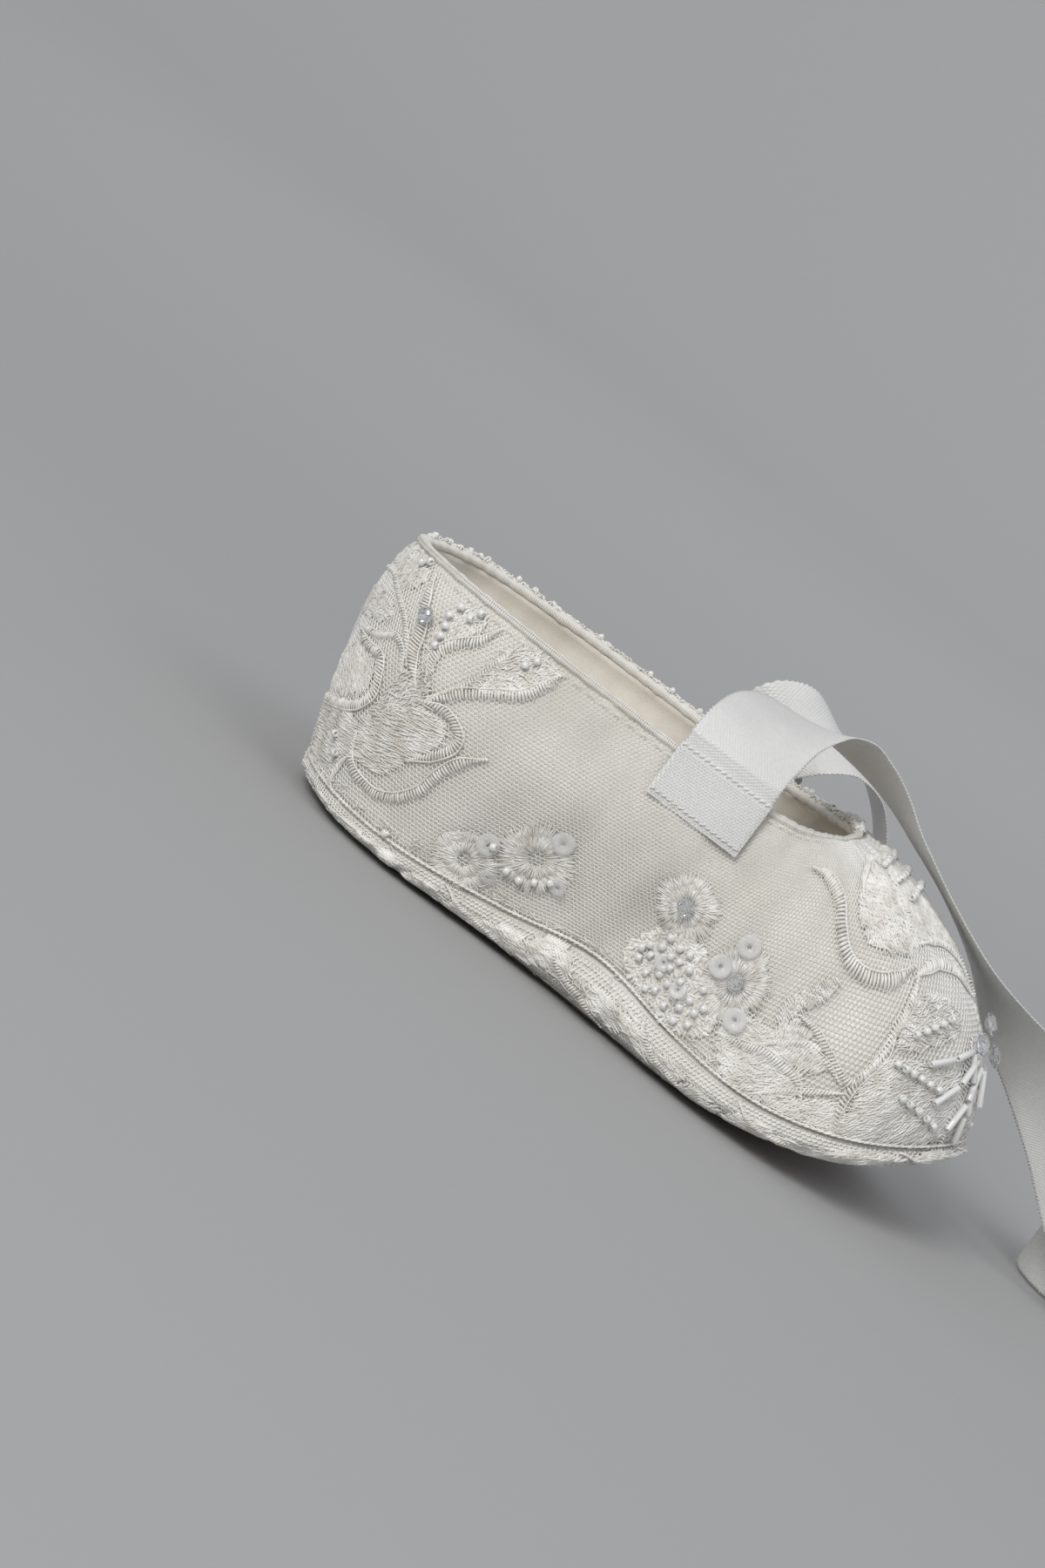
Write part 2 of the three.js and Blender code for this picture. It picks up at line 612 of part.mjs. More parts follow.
/** A faceted stone, seated on the motif below it and facing straight out. */
function crystal(u, v, diameter) {
  const radius = diameter / 2;
  const profile = [[0, 0], [0.55, 0], [1, 0.45], [0.6, 0.85], [0, 0.85]];
  const outline = profile.map(([r, h]) => new THREE.Vector2(r * radius, h * radius));
  const geometry = new THREE.LatheGeometry(outline, 8);
  const seat = onUpper(u, v, APPLIQUE_OUT + CLEARANCE);
  const turn = new THREE.Quaternion().setFromUnitVectors(new THREE.Vector3(0, 1, 0), faceAxes(u, v).out);
  return { geometry, seat, turn };
}

// Each stone as [name, u, v, diameter].
const CENTRE_STONES = [
  ['crystal_toe_top', 0.497, 0.37, LARGE_CRYSTAL],
  ['crystal_toe_right', 0.481, 0.33, LARGE_CRYSTAL],
  ['crystal_toe_low', 0.503, 0.27, LARGE_CRYSTAL],
];
const SIDE_STONES = [
  ['crystal_side_back', 0.280, 0.42, SMALL_CRYSTAL],
  ['crystal_side_front', 0.329, 0.27, SMALL_CRYSTAL],
  ['crystal_heel', 0.074, 0.8, SMALL_CRYSTAL],
];

// ---- assembly ----
const material = (color, roughness, extra = {}) => new THREE.MeshStandardMaterial({
  color, roughness, metalness: 0, ...extra,
});
const SATIN = material(IVORY_SATIN, 0.45);
const LINING = material(IVORY_LINING, 0.5);
const TULLE = material(WHITE_TULLE, 0.8);
const THREAD = material(WHITE_THREAD, 0.55);
const RIBBON = material(WHITE_RIBBON, 0.35);
const SUEDE = material(BLUSH_SUEDE, 0.95);
const WADDING = material(FELT, 0.95);
const GLASS = material(CLEAR_GLASS, 0.05);

const slipper = new THREE.Group();
slipper.name = 'ballet_slipper';

function add(name, geometry, finish) {
  const mesh = new THREE.Mesh(geometry, finish);
  mesh.name = name;
  slipper.add(mesh);
  return mesh;
}

function addCrystal(name, u, v, diameter) {
  const { geometry, seat, turn } = crystal(u, v, diameter);
  const mesh = add(name, geometry, GLASS);
  mesh.position.copy(seat);
  mesh.quaternion.copy(turn);
}

add('outsole_patch', outsolePatch(), SUEDE);
add('sole_cover', soleCover(), THREAD);
add('sole_lace_band', soleLaceBand(), THREAD);
add('sole_wadding', soleWadding(), WADDING);
add('sock_lining', sockLining(), LINING);
add('sole_seam_thread', seamThread(), THREAD);
add('upper_lining', upperRing(LINING_IN, LINING_OUT, 6), LINING);
add('heel_counter', heelCounter(), WADDING);
add('toe_puff', toePuff(), WADDING);
add('upper_satin', upperRing(SATIN_IN, 0, 7), SATIN);
add('tulle_overlay', upperRing(TULLE_IN, TULLE_OUT, 7), TULLE);
add('topline_binding', toplineBinding(), SATIN);
add('toe_applique', motif(0.5, 0.42, scalloped(11.5, 16.5, 8), { steps: 32, rings: 4 }), THREAD);
add('heel_applique', motif(0, 0.5, scalloped(28, 15.5, 10), { steps: 40, rings: 5 }), THREAD);

for (const [sideName, side] of [['right', -1], ['left', 1]]) {
  add(`ribbon_${sideName}_sewn_end`, sewnEnd(side), RIBBON);
  add(`ribbon_${sideName}_tack_thread`, tackThread(side), THREAD);
  const mirrored = (u) => (side < 0 ? u : 1 - u);
  for (const [name, u, v, outline] of SIDE_MOTIFS) {
    add(`${name}_${sideName}`, motif(mirrored(u), v, outline), THREAD);
  }
  for (const [name, u, v, diameter] of SIDE_STONES) {
    addCrystal(`${name}_${sideName}`, mirrored(u), v, diameter);
  }
}
add('ribbon_right', rightRibbon(), RIBBON);
add('ribbon_left', leftRibbon(), RIBBON);
for (const [name, u, v, diameter] of CENTRE_STONES) addCrystal(name, u, v, diameter);

export default slipper;
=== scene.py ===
"""A baby's ribbon-tie ballet slipper: ivory satin under embroidered tulle, with beads, stones and satin ties.

Lengths in this file are millimetres unless a name says otherwise, and MM turns them into the frame's metres.
The upper is worked out on one shaped last. A place on it is (u, v): u runs round the foot, 0 at the heel's
back, 0.5 at the toe's tip, the right side first; v is 0 at the sole seam and 1 at the collar's edge.
"""

import math

import bpy
import numpy as np
from mathutils import Matrix, Vector


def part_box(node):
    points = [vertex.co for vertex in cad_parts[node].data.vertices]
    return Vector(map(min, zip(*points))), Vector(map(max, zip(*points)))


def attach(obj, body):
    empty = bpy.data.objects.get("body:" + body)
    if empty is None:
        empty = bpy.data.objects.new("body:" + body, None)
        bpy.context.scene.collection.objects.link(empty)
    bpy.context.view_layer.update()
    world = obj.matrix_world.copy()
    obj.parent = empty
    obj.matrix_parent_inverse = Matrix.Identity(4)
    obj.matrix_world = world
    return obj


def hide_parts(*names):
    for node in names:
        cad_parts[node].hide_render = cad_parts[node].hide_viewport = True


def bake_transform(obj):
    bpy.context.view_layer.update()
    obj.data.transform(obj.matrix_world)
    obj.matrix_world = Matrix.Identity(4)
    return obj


bl_info = {
    "name": "Ribbon-tie ballet slipper",
    "version": (1, 0, 0),
    "blender": (4, 5, 0),
    "location": "View3D > Sidebar > Slipper",
    "description": "Sews an embroidered baby's ballet slipper around its packed CAD frame",
    "category": "Object",
}

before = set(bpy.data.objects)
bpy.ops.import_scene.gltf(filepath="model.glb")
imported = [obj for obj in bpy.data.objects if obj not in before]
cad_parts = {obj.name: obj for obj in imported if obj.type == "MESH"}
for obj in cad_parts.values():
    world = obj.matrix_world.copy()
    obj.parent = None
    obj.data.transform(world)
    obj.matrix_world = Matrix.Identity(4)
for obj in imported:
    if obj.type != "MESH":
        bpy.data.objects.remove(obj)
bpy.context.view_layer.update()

MM = 0.001
ROOT = "root"

# ---- the last, as the CAD has it ----
SOLE_LENGTH = 108.0
SOLE_WIDTH = 50.0
COLLAR_HEIGHT = 40.0
HEEL_BACK_X = -55.0
TOE_SPRING = 11.0
HEEL_SPRING = 1.0
TREAD_FRONT_X = 8.0
TREAD_BACK_X = -38.0
TOE_TIP_X = HEEL_BACK_X + SOLE_LENGTH
BULGE_SKEW = 1.3
DOME_POWER = 0.9
TOE_SPRING_POWER = 2.4
# Each station: the sole's edge and the seam's height, the collar's edge, then dome and bulge.
STATIONS = [
    (0.000, 0.000, 3.0, -0.046, 0.000, 0.980, 0.00, 2.6),
    (0.066, 0.260, 3.4, 0.026, 0.270, 0.995, 0.00, 2.8),
    (0.194, 0.372, 4.0, 0.176, 0.384, 0.995, 0.00, 3.0),
    (0.343, 0.368, 6.0, 0.324, 0.404, 0.990, 0.00, 3.0),
    (0.481, 0.406, 9.0, 0.472, 0.400, 0.985, 0.05, 2.8),
    (0.620, 0.472, 7.2, 0.583, 0.356, 1.000, 0.35, 2.0),
    (0.757, 0.500, 5.6, 0.635, 0.240, 1.028, 0.80, 0.8),
    (0.903, 0.402, 5.2, 0.646, 0.110, 1.040, 1.00, 0.2),
    (1.000, 0.000, 4.5, 0.648, 0.000, 1.040, 1.00, 0.0),
]
LAST = len(STATIONS) - 1

# Layers of the upper, as heights over the satin's face.
SATIN_BACK = -0.7
LINING_FACE = -3.3
LINING_BACK = -2.75
NET_BACK = 0.38
NET_CREST = 0.56
SEWN_ON = 0.5
TOPLINE_V = 0.972


def station_table():
    """The stations in millimetres, with one mirrored station past each end for smooth joins."""
    rows = []
    for x, y, seam, top_x, top_y, top_z, dome, bulge in STATIONS:
        rows.append([
            HEEL_BACK_X + SOLE_LENGTH * x, SOLE_WIDTH * y, seam,
            HEEL_BACK_X + SOLE_LENGTH * top_x, SOLE_WIDTH * top_y, COLLAR_HEIGHT * top_z,
            dome, bulge,
        ])
    table = np.array(rows)
    flip = np.array([1, -1, 1, 1, -1, 1, 1, 1])
    return np.vstack([table[1] * flip, table, table[-2] * flip])


TABLE = station_table()
SIDED = np.array([0, 1, 0, 0, 1, 0, 0, 0])


def last_at(u):
    """The last's eight values at each u."""
    turn = np.mod(np.asarray(u, float), 1.0)
    left = turn > 0.5
    along = np.where(left, 1 - turn, turn) * 2 * LAST
    index = np.minimum(along.astype(int), LAST - 1)
    t = (along - index)[..., None]
    a, b, c, d = (TABLE[index + k] for k in range(4))
    value = 0.5 * (2 * b + (c - a) * t + (2 * a - 5 * b + 4 * c - d) * t**2 + (3 * b - a - 3 * c + d) * t**3)
    side = np.where(left, 1.0, -1.0)[..., None]
    return np.where(SIDED, value * side, value)


def rocker(x):
    """Height of the sole's underside: flat under the tread, sprung at toe and heel."""
    toe = np.maximum(0, x - TREAD_FRONT_X) / (TOE_TIP_X - TREAD_FRONT_X)
    heel = np.maximum(0, TREAD_BACK_X - x) / (TREAD_BACK_X - HEEL_BACK_X)
    return TOE_SPRING * toe**TOE_SPRING_POWER + HEEL_SPRING * heel**2


def plan_normal(u):
    """Unit direction out of the sole's outline, in plan."""
    run = (last_at(u + 0.001) - last_at(u - 0.001))[..., :2]
    run /= np.linalg.norm(run, axis=-1, keepdims=True)
    return np.stack([run[..., 1], -run[..., 0]], -1)


def satin_face(u, v):
    """The satin's outer face before its soft hollows."""
    u, v = np.broadcast_arrays(np.asarray(u, float), np.asarray(v, float))
    s = last_at(u)
    normal = plan_normal(u)
    phi = np.clip(v, 0, 1) * math.pi / 2
    dome = s[..., 6]
    inward = (1 - dome) * v + dome * (1 - np.cos(phi)) ** DOME_POWER
    upward = (1 - dome) * v + dome * np.sin(phi)
    swell = s[..., 7] * np.sin(math.pi * np.clip(v, 0, 1) ** BULGE_SKEW)
    seam_z = rocker(s[..., 0]) + s[..., 2]
    return np.stack([
        s[..., 0] + (s[..., 3] - s[..., 0]) * inward + normal[..., 0] * swell,
        s[..., 1] + (s[..., 4] - s[..., 1]) * inward + normal[..., 1] * swell,
        seam_z + (s[..., 5] - seam_z) * upward,
    ], -1)


def unit(vectors):
    return vectors / np.maximum(np.linalg.norm(vectors, axis=-1, keepdims=True), 1e-12)


def axes_at(u, v):
    """Millimetres per unit round the foot and up the wall, and the unit direction out of it."""
    low = np.clip(np.asarray(v, float) - 0.004, 0.001, 0.99)
    high = low + 0.008
    around = (satin_face(u + 0.002, v) - satin_face(u - 0.002, v)) / 0.004
    up = (satin_face(u, high) - satin_face(u, low)) / 0.008
    return around, up, unit(np.cross(around, up))


# Soft hollows and swells of the hand-sewn cloth: place, reach and depth.
HOLLOWS = [
    (0.175, 0.74, 0.028, 0.16, -1.0),
    (0.205, 0.38, 0.020, 0.20, -0.6),
    (0.245, 0.50, 0.012, 0.26, 0.5),
    (0.268, 0.22, 0.014, 0.18, -0.7),
    (0.300, 0.66, 0.016, 0.14, -0.5),
    (0.345, 0.45, 0.020, 0.16, 0.5),
    (0.395, 0.33, 0.022, 0.12, -0.5),
    (0.130, 0.55, 0.014, 0.30, -0.4),
]


SOFT_DEPTH = 1.35


def softness(u, v):
    """How far the cloth gives at (u, v), in millimetres."""
    turn = np.mod(u, 1.0)
    give = np.zeros(np.broadcast(turn, v).shape)
    for place, height, reach, rise, depth in HOLLOWS:
        for centre in (place, 1 - place - 0.006):
            give = give + depth * np.exp(-(((turn - centre) / reach) ** 2) - ((v - height) / rise) ** 2)
    wave = 2 * math.pi * turn
    give = give + 0.16 * np.sin(17 * wave + 5 * v) * np.sin(4.2 * v + 1.1)
    give = give + 0.10 * np.sin(31 * wave - 9 * v + 0.7) + 0.06 * np.sin(53 * wave + 13 * v)
    return SOFT_DEPTH * give * np.clip((1.04 - v) * 6, 0, 1) * np.clip(v * 9 + 0.15, 0, 1)


def upper(u, v, lift):
    """Points over the satin's face, following its soft hollows."""
    return satin_face(u, v) + axes_at(u, v)[2] * (lift + softness(u, v))[..., None]


def sole_at(u, share, inset, height):
    """A point of the sole: share 0 is the middle line and 1 the edge, less the inset."""
    s = last_at(u)
    normal = plan_normal(u)
    middle = np.clip(s[..., 0], HEEL_BACK_X + 19, TOE_TIP_X - 25)
    x = middle + (s[..., 0] - normal[..., 0] * inset - middle) * share
    y = (s[..., 1] - normal[..., 1] * inset) * share
    return np.stack([x, y, rocker(x) + height], -1)


# ---- meshes ----
class Quads:
    """Gathers grids of points, in millimetres, into one mesh."""

    def __init__(self):
        self.points = []
        self.faces = []
        self.places = []
        self.total = 0

    def grid(self, points, wrap_rows=False, wrap_columns=False, place=None):
        """points is (..., rows, columns, 3): each leading index is a grid of its own."""
        rows, columns = points.shape[-3:-1]
        stack = points.reshape(-1, rows, columns, 3)
        index = np.arange(rows * columns).reshape(rows, columns)
        if wrap_rows:
            index = np.vstack([index, index[:1]])
        if wrap_columns:
            index = np.hstack([index, index[:, :1]])
        quads = np.stack([index[:-1, :-1], index[:-1, 1:], index[1:, 1:], index[1:, :-1]], -1).reshape(-1, 4)
        offsets = self.total + np.arange(len(stack)) * rows * columns
        self.faces.append((quads[None] + offsets[:, None, None]).reshape(-1, 4))
        self.points.append(stack.reshape(-1, 3))
        if place is None:
            place = np.zeros((rows, columns, 2))
        spread = np.broadcast_to(place, (len(stack), rows, columns, 2))
        self.places.append(spread.reshape(-1, 2))
        self.total += len(stack) * rows * columns

    def made(self, name, material, smooth=True):
        """The gathered mesh as an object of the scene."""
        points = np.concatenate(self.points) * MM
        faces = np.concatenate(self.faces)
        mesh = bpy.data.meshes.new(name)
        mesh.vertices.add(len(points))
        mesh.vertices.foreach_set("co", points.astype(np.float32).ravel())
        mesh.loops.add(faces.size)
        mesh.loops.foreach_set("vertex_index", faces.astype(np.int32).ravel())
        mesh.polygons.add(len(faces))
        mesh.polygons.foreach_set("loop_start", np.arange(0, faces.size, 4, dtype=np.int32))
        mesh.polygons.foreach_set("use_smooth", np.full(len(faces), smooth))
        layer = mesh.uv_layers.new(name="Cloth")
        layer.data.foreach_set("uv", np.concatenate(self.places)[faces.ravel()].astype(np.float32).ravel())
        mesh.update(calc_edges=True)
        mesh.validate()
        mesh.materials.append(material)
        made = bpy.data.objects.new(name, mesh)
        bpy.context.scene.collection.objects.link(made)
        return made

    def piece(self, name, material, slot, replaces=(), smooth=True, body=ROOT):
        """The gathered mesh as a named piece that rides on a body."""
        piece = self.made(name, material, smooth)
        if body:
            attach(piece, body)
        if replaces:
            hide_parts(*replaces)
        return piece


def along_curve(points, step, closed=False):
    """Evenly spaced points on a smooth curve through the given ones."""
    points = np.asarray(points, float)
    count = len(points)
    if closed:
        padded = np.vstack([points[-1:], points, points[:2]])
        spans = count
    else:
        padded = np.vstack([2 * points[:1] - points[1:2], points, 2 * points[-1:] - points[-2:-1]])
        spans = count - 1
    t = np.linspace(0, 1, 24, endpoint=False)[:, None]
    pieces = []
    for k in range(spans):
        a, b, c, d = padded[k:k + 4]
        pieces.append(0.5 * (2 * b + (c - a) * t + (2 * a - 5 * b + 4 * c - d) * t**2
                             + (3 * b - a - 3 * c + d) * t**3))
    fine = np.vstack(pieces + [padded[spans + 1][None]])
    gaps = np.linalg.norm(np.diff(fine[:, :3], axis=0), axis=1)
    travelled = np.concatenate([[0], np.cumsum(gaps)])
    number = max(2, int(round(travelled[-1] / step)) + 1)
    wanted = np.linspace(0, travelled[-1], number)
    return np.stack([np.interp(wanted, travelled, fine[:, k]) for k in range(fine.shape[1])], -1)


def tube(mesh, path, normals, radius, sides=8, closed=False):
    """A round cord along a path; radius may change along it."""
    run = unit(np.roll(path, -1, 0) - np.roll(path, 1, 0) if closed else np.gradient(path, axis=0))
    side = unit(np.cross(normals, run))
    up = np.cross(run, side)
    angle = np.arange(sides) / sides * 2 * math.pi
    reach = np.broadcast_to(np.asarray(radius, float), (len(path),))[:, None, None]
    ring = side[:, None] * np.cos(angle)[None, :, None] + up[:, None] * np.sin(angle)[None, :, None]
    mesh.grid(path[:, None] + ring * reach, wrap_rows=closed, wrap_columns=True)


def turned(mesh, centres, axes, profile, sides, closed=True):
    """Turned shapes, such as beads, from one profile of (radius, height), one at each centre."""
    centres = np.atleast_2d(centres)
    axes = unit(np.broadcast_to(np.atleast_2d(axes), centres.shape))
    helper = np.where(np.abs(axes[:, 2:]) < 0.9, [[0.0, 0.0, 1.0]], [[1.0, 0.0, 0.0]])
    first = unit(np.cross(axes, helper))
    second = np.cross(axes, first)
    angle = (np.arange(sides) + 0.5) / sides * 2 * math.pi
    radial = first[:, None] * np.cos(angle)[None, :, None] + second[:, None] * np.sin(angle)[None, :, None]
    profile = np.asarray(profile, float)
    points = (centres[:, None, None] + radial[:, None] * profile[None, :, None, :1]
              + axes[:, None, None] * profile[None, :, None, 1:])
    mesh.grid(points, wrap_rows=closed, wrap_columns=True)


# ---- grounds to sew on: flat millimetres (round the foot, up the wall) to points ----
ROUND = 262.0
RISE = 38.0
SOLE_WALL = 7.0


def upper_ground(mirrored):
    """The upper's face, as sewn on from the outside; mirrored is the wearer's left side."""
    def ground(flat, lift):
        u = flat[..., 0] / ROUND
        return upper(1 - u if mirrored else u, np.clip(flat[..., 1] / RISE, -0.02, 0.985), lift)
    return ground


# The sole's wall in section, as (share, inset, share of the seam's height, height).
WALL_SECTION = [
    (1.0, 3.0, 0.0, 0.75), (1.0, 0.9, 0.22, 0.30), (1.0, -0.45, 0.58, 0.0), (1.0, -0.1, 0.93, 0.0),
]


# How far the padded side swells, and where it tucks in instead at the heel.
SOLE_SWELL = 1.1
HEEL_TUCK = 0.5
HEEL_REACH = 0.06


def sole_wall(u, w, lift):
    """The sole's side: w is 0 at the bottom's edge and 1 at the seam."""
    knots = np.linspace(0, 1, len(WALL_SECTION))
    section = np.array(WALL_SECTION)
    w = np.clip(w, 0, 1)
    smooth = [np.interp(w, knots, section[:, k]) for k in range(4)]
    seam = last_at(u)[..., 2]
    heel = np.exp(-(((np.mod(u + 0.5, 1.0) - 0.5) / HEEL_REACH) ** 2))
    swell = SOLE_SWELL - (SOLE_SWELL + HEEL_TUCK) * heel
    return sole_at(u, smooth[0], smooth[1] - lift - swell * np.sin(math.pi * w), smooth[2] * seam + smooth[3])


def wrinkle(u, w):
    """The wrapped lace's drag lines and gathers on the sole, in millimetres."""
    wave = 2 * math.pi * u
    slant = 6.0 * w
    folds = 0.34 * np.sin(23 * wave + slant) + 0.22 * np.sin(47 * wave - 1.4 * slant + 1)
    folds = folds + 0.10 * np.sin(113 * wave + 2.2 * slant + 2 * np.sin(9 * wave))
    return folds * (0.6 + 0.4 * np.sin(7 * wave + 2)) * np.sin(math.pi * np.clip(w, 0.04, 0.96))


def sole_ground(flat, lift):
    u = flat[..., 0] / ROUND
    w = flat[..., 1] / SOLE_WALL
    return sole_wall(u, w, lift + wrinkle(u, w))


# ---- needlework ----
THREAD = 0.14
# How deep a thread's ends sink into the cloth.
SUNK = 0.12
CORD_FLATNESS = 0.62
CORD_TAPER_STEPS = 8
RIM_SHARE = 0.12
FILL_FLATNESS = 0.6


def sew(mesh, ground, starts, ends, crest, thickness=THREAD, rings=6, sides=4, base=SEWN_ON, bow=0.6):
    """Threads that arch over the cloth from starts to ends, each a place in flat millimetres."""
    t = np.linspace(0, 1, rings)
    arch = np.clip(np.sin(math.pi * t), 0, 1) ** bow
    flat = starts[:, None] * (1 - t)[None, :, None] + ends[:, None] * t[None, :, None]
    lift = base - SUNK + np.asarray(crest).reshape(-1, 1) * arch[None]
    points = ground(flat, lift)
    normals = unit(ground(flat, lift + 0.5) - points)
    run = unit(np.gradient(points, axis=1))
    side = unit(np.cross(normals, run))
    up = np.cross(run, side)
    angle = np.arange(sides) / sides * 2 * math.pi
    ring = side[:, :, None] * np.cos(angle)[:, None] + up[:, :, None] * np.sin(angle)[:, None]
    width = np.asarray(thickness, float).reshape(-1, 1) * (0.45 + 0.55 * arch[None])
    mesh.grid(points[:, :, None] + ring * width[:, :, None, None], wrap_columns=True)


def flat_points(places):
    return np.asarray(places, float) * [ROUND, RISE]


def satin_cord(mesh, ground, places, width, crest, slant=0.25, pitch=0.47, seed=1, flat=False):
    """A ladder of threads laid side by side across a line, with a raised rim along its left edge."""
    line = np.asarray(places, float) if flat else flat_points(places)
    path = along_curve(line, pitch)
    run = unit(np.gradient(path, axis=0))
    across = np.stack([-run[:, 1], run[:, 0]], -1)
    draw = np.random.default_rng(seed)
    steps = np.arange(len(path))
    reach = width / 2 * np.clip(np.minimum(steps, steps[::-1]) / CORD_TAPER_STEPS, 0.25, 1)
    starts = path - across * (reach * draw.uniform(0.85, 1.15, len(path)))[:, None] - run * slant
    ends = path + across * (reach * draw.uniform(0.85, 1.15, len(path)))[:, None] + run * slant
    crest = crest * CORD_FLATNESS
    sew(mesh, ground, starts, ends, crest * draw.uniform(0.7, 1.25, len(path)),
        thickness=pitch * draw.uniform(0.34, 0.5, len(path)), bow=0.42)
    rim = path + across * (reach * 0.92)[:, None]
    sew(mesh, ground, rim[:-1] - run[:-1] * 0.12, rim[1:] + run[:-1] * 0.12, np.full(len(path) - 1, 0.05),
        thickness=width * RIM_SHARE, rings=4, base=SEWN_ON + crest * 0.7)


def inside(points, outline):
    """Which flat points lie inside a closed outline."""
    x, y = points[:, 0:1], points[:, 1:2]
    x1, y1 = outline[:, 0], outline[:, 1]
    x2, y2 = np.roll(x1, -1), np.roll(y1, -1)
    span = np.where(y2 == y1, 1e-9, y2 - y1)
    crosses = ((y1 > y) != (y2 > y)) & (x < (x2 - x1) * (y - y1) / span + x1)
    return crosses.sum(1) % 2 == 1


def long_short_fill(mesh, ground, outline, angle=0.0, focus=None, length=2.2, spacing=0.25, crest=0.3,
                    wander=0.12, seed=1, base=SEWN_ON, flat=False):
    """Staggered threads that fill an outline, all one way or all towards a focus, over a flat underlay."""
    corners = np.asarray(outline, float) if flat else flat_points(outline)
    edge = along_curve(corners, 0.6, closed=True)
    low, high = edge.min(0), edge.max(0)
    middle = (low + high) / 2
    reach = np.linalg.norm(high - low) / 2 + length
    draw = np.random.default_rng(seed)
    if focus is None:
        rows = np.arange(-reach, reach, spacing)
        columns = np.arange(-reach, reach, length * 0.62)
        across, along = np.meshgrid(rows, columns, indexing="ij")
        along = along + (np.arange(len(rows)) % 3)[:, None] * length * 0.21
        turn = np.array([[math.cos(angle), math.sin(angle)], [-math.sin(angle), math.cos(angle)]])
        spots = np.stack([along.ravel(), across.ravel()], -1) @ turn + middle
        heading = np.full(len(spots), angle)
    else:
        centre = flat_points([focus])[0]
        far = np.linalg.norm(edge - centre, axis=1).max()
        spots = []
        for step, radius in enumerate(np.arange(length * 0.5, far, length * 0.55)):
            number = max(3, int(2 * math.pi * radius / spacing))
            bearing = (np.arange(number) + (step % 3) / 3) / number * 2 * math.pi
            spots.append(centre + radius * np.stack([np.cos(bearing), np.sin(bearing)], -1))
        spots = np.concatenate(spots)
        heading = np.arctan2(spots[:, 1] - centre[1], spots[:, 0] - centre[0])
    spots = spots + draw.normal(0, spacing * 0.3, spots.shape)
    keep = inside(spots, edge)
    spots, heading = spots[keep], heading[keep] + draw.normal(0, wander, keep.sum())
    reach = length / 2 * draw.uniform(0.75, 1.2, len(spots))
    half = np.stack([np.cos(heading), np.sin(heading)], -1) * reach[:, None]
    height = crest * FILL_FLATNESS * draw.uniform(0.6, 1.3, len(spots))
    sew(mesh, ground, spots - half, spots + half, height, thickness=spacing * 0.5, base=base)
    lay_bed(mesh, ground, edge, base - 0.08)


BED_PITCH = 0.5
BED_ROW = 0.9


def lay_bed(mesh, ground, edge, base):
    """The close underlay of wide threads that keeps the cloth from showing between the top ones."""
    low, high = edge.min(0), edge.max(0)
    across, along = np.meshgrid(np.arange(low[0], high[0], BED_PITCH), np.arange(low[1], high[1], BED_ROW),
                                indexing="ij")
    spots = np.stack([across.ravel(), along.ravel()], -1)
    spots = spots[inside(spots, edge)]
    if len(spots):
        sew(mesh, ground, spots - [0.25, 0.6], spots + [0.25, 0.6], np.full(len(spots), 0.06),
            thickness=BED_PITCH * 0.62, rings=4, base=base, bow=0.2)


def stitched_flower(mesh, ground, centre, radius, petals, turn=0.0, seed=1):
    """A small flower: close threads that radiate from an open middle into round petals."""
    middle = flat_points([centre])[0]
    draw = np.random.default_rng(seed)
    for inner, outer, crest, gap in ((0.2, 0.66, 0.45, 0.17), (0.5, 1.0, 0.32, 0.19), (0.34, 0.9, 0.12, 0.3)):
        number = int(2 * math.pi * radius * outer / gap)
        bearing = (np.arange(number) + 0.5) / number * 2 * math.pi
        lobe = 0.84 + 0.16 * np.abs(np.cos(petals * (bearing - turn) / 2)) ** 0.6
        way = np.stack([np.cos(bearing), np.sin(bearing)], -1)
        near = middle + way * (radius * inner * draw.uniform(0.8, 1.3, number))[:, None]
        far = middle + way * (radius * outer * lobe * draw.uniform(0.84, 1.1, number))[:, None]
        sew(mesh, ground, near, far, crest * draw.uniform(0.6, 1.3, number), thickness=0.5 * gap)


BEAD_HOLE = 0.3
BEAD_LENGTH = 0.82
BEAD_LIFT = 0.55 / 0.75
BEAD_GAP = 1.25
BEAD_SIDES = 10


def bead_profile(radius):
    """A round bead's section: its hole and its length are shares of the radius."""
    angle = np.arange(8) / 8 * 2 * math.pi
    middle = radius * (1 + BEAD_HOLE) / 2
    band = radius * (1 - BEAD_HOLE) / 2
    return np.stack([middle + band * np.cos(angle), radius * BEAD_LENGTH * np.sin(angle)], -1)


def sew_beads(mesh, ground, places, radius, seed=1, flat=False):
    """Round glass beads lying on their sides, as a thread through the hole leaves them."""
    spots = np.asarray(places, float) if flat else flat_points(places)
    draw = np.random.default_rng(seed)
    bearing = draw.uniform(0, math.pi, len(spots))
    heading = np.stack([np.cos(bearing), np.sin(bearing)], -1)
    height = np.full(len(spots), SEWN_ON + BEAD_LIFT * radius + draw.uniform(-0.05, 0.2))
    centres = ground(spots, height)
    axes = ground(spots + heading * 0.5, height) - centres
    turned(mesh, centres, axes, bead_profile(radius), BEAD_SIDES)


def bead_row(mesh, ground, places, radius, seed):
    """Beads side by side along a line."""
    spots = along_curve(flat_points(places), 2 * radius * BEAD_GAP)
    sew_beads(mesh, ground, spots, radius, seed=seed, flat=True)


BUGLE_RADIUS = 0.5
BUGLE_BORE = 0.225
BUGLE_EDGE = 0.12
TRIM_LIFT = SEWN_ON + 0.75


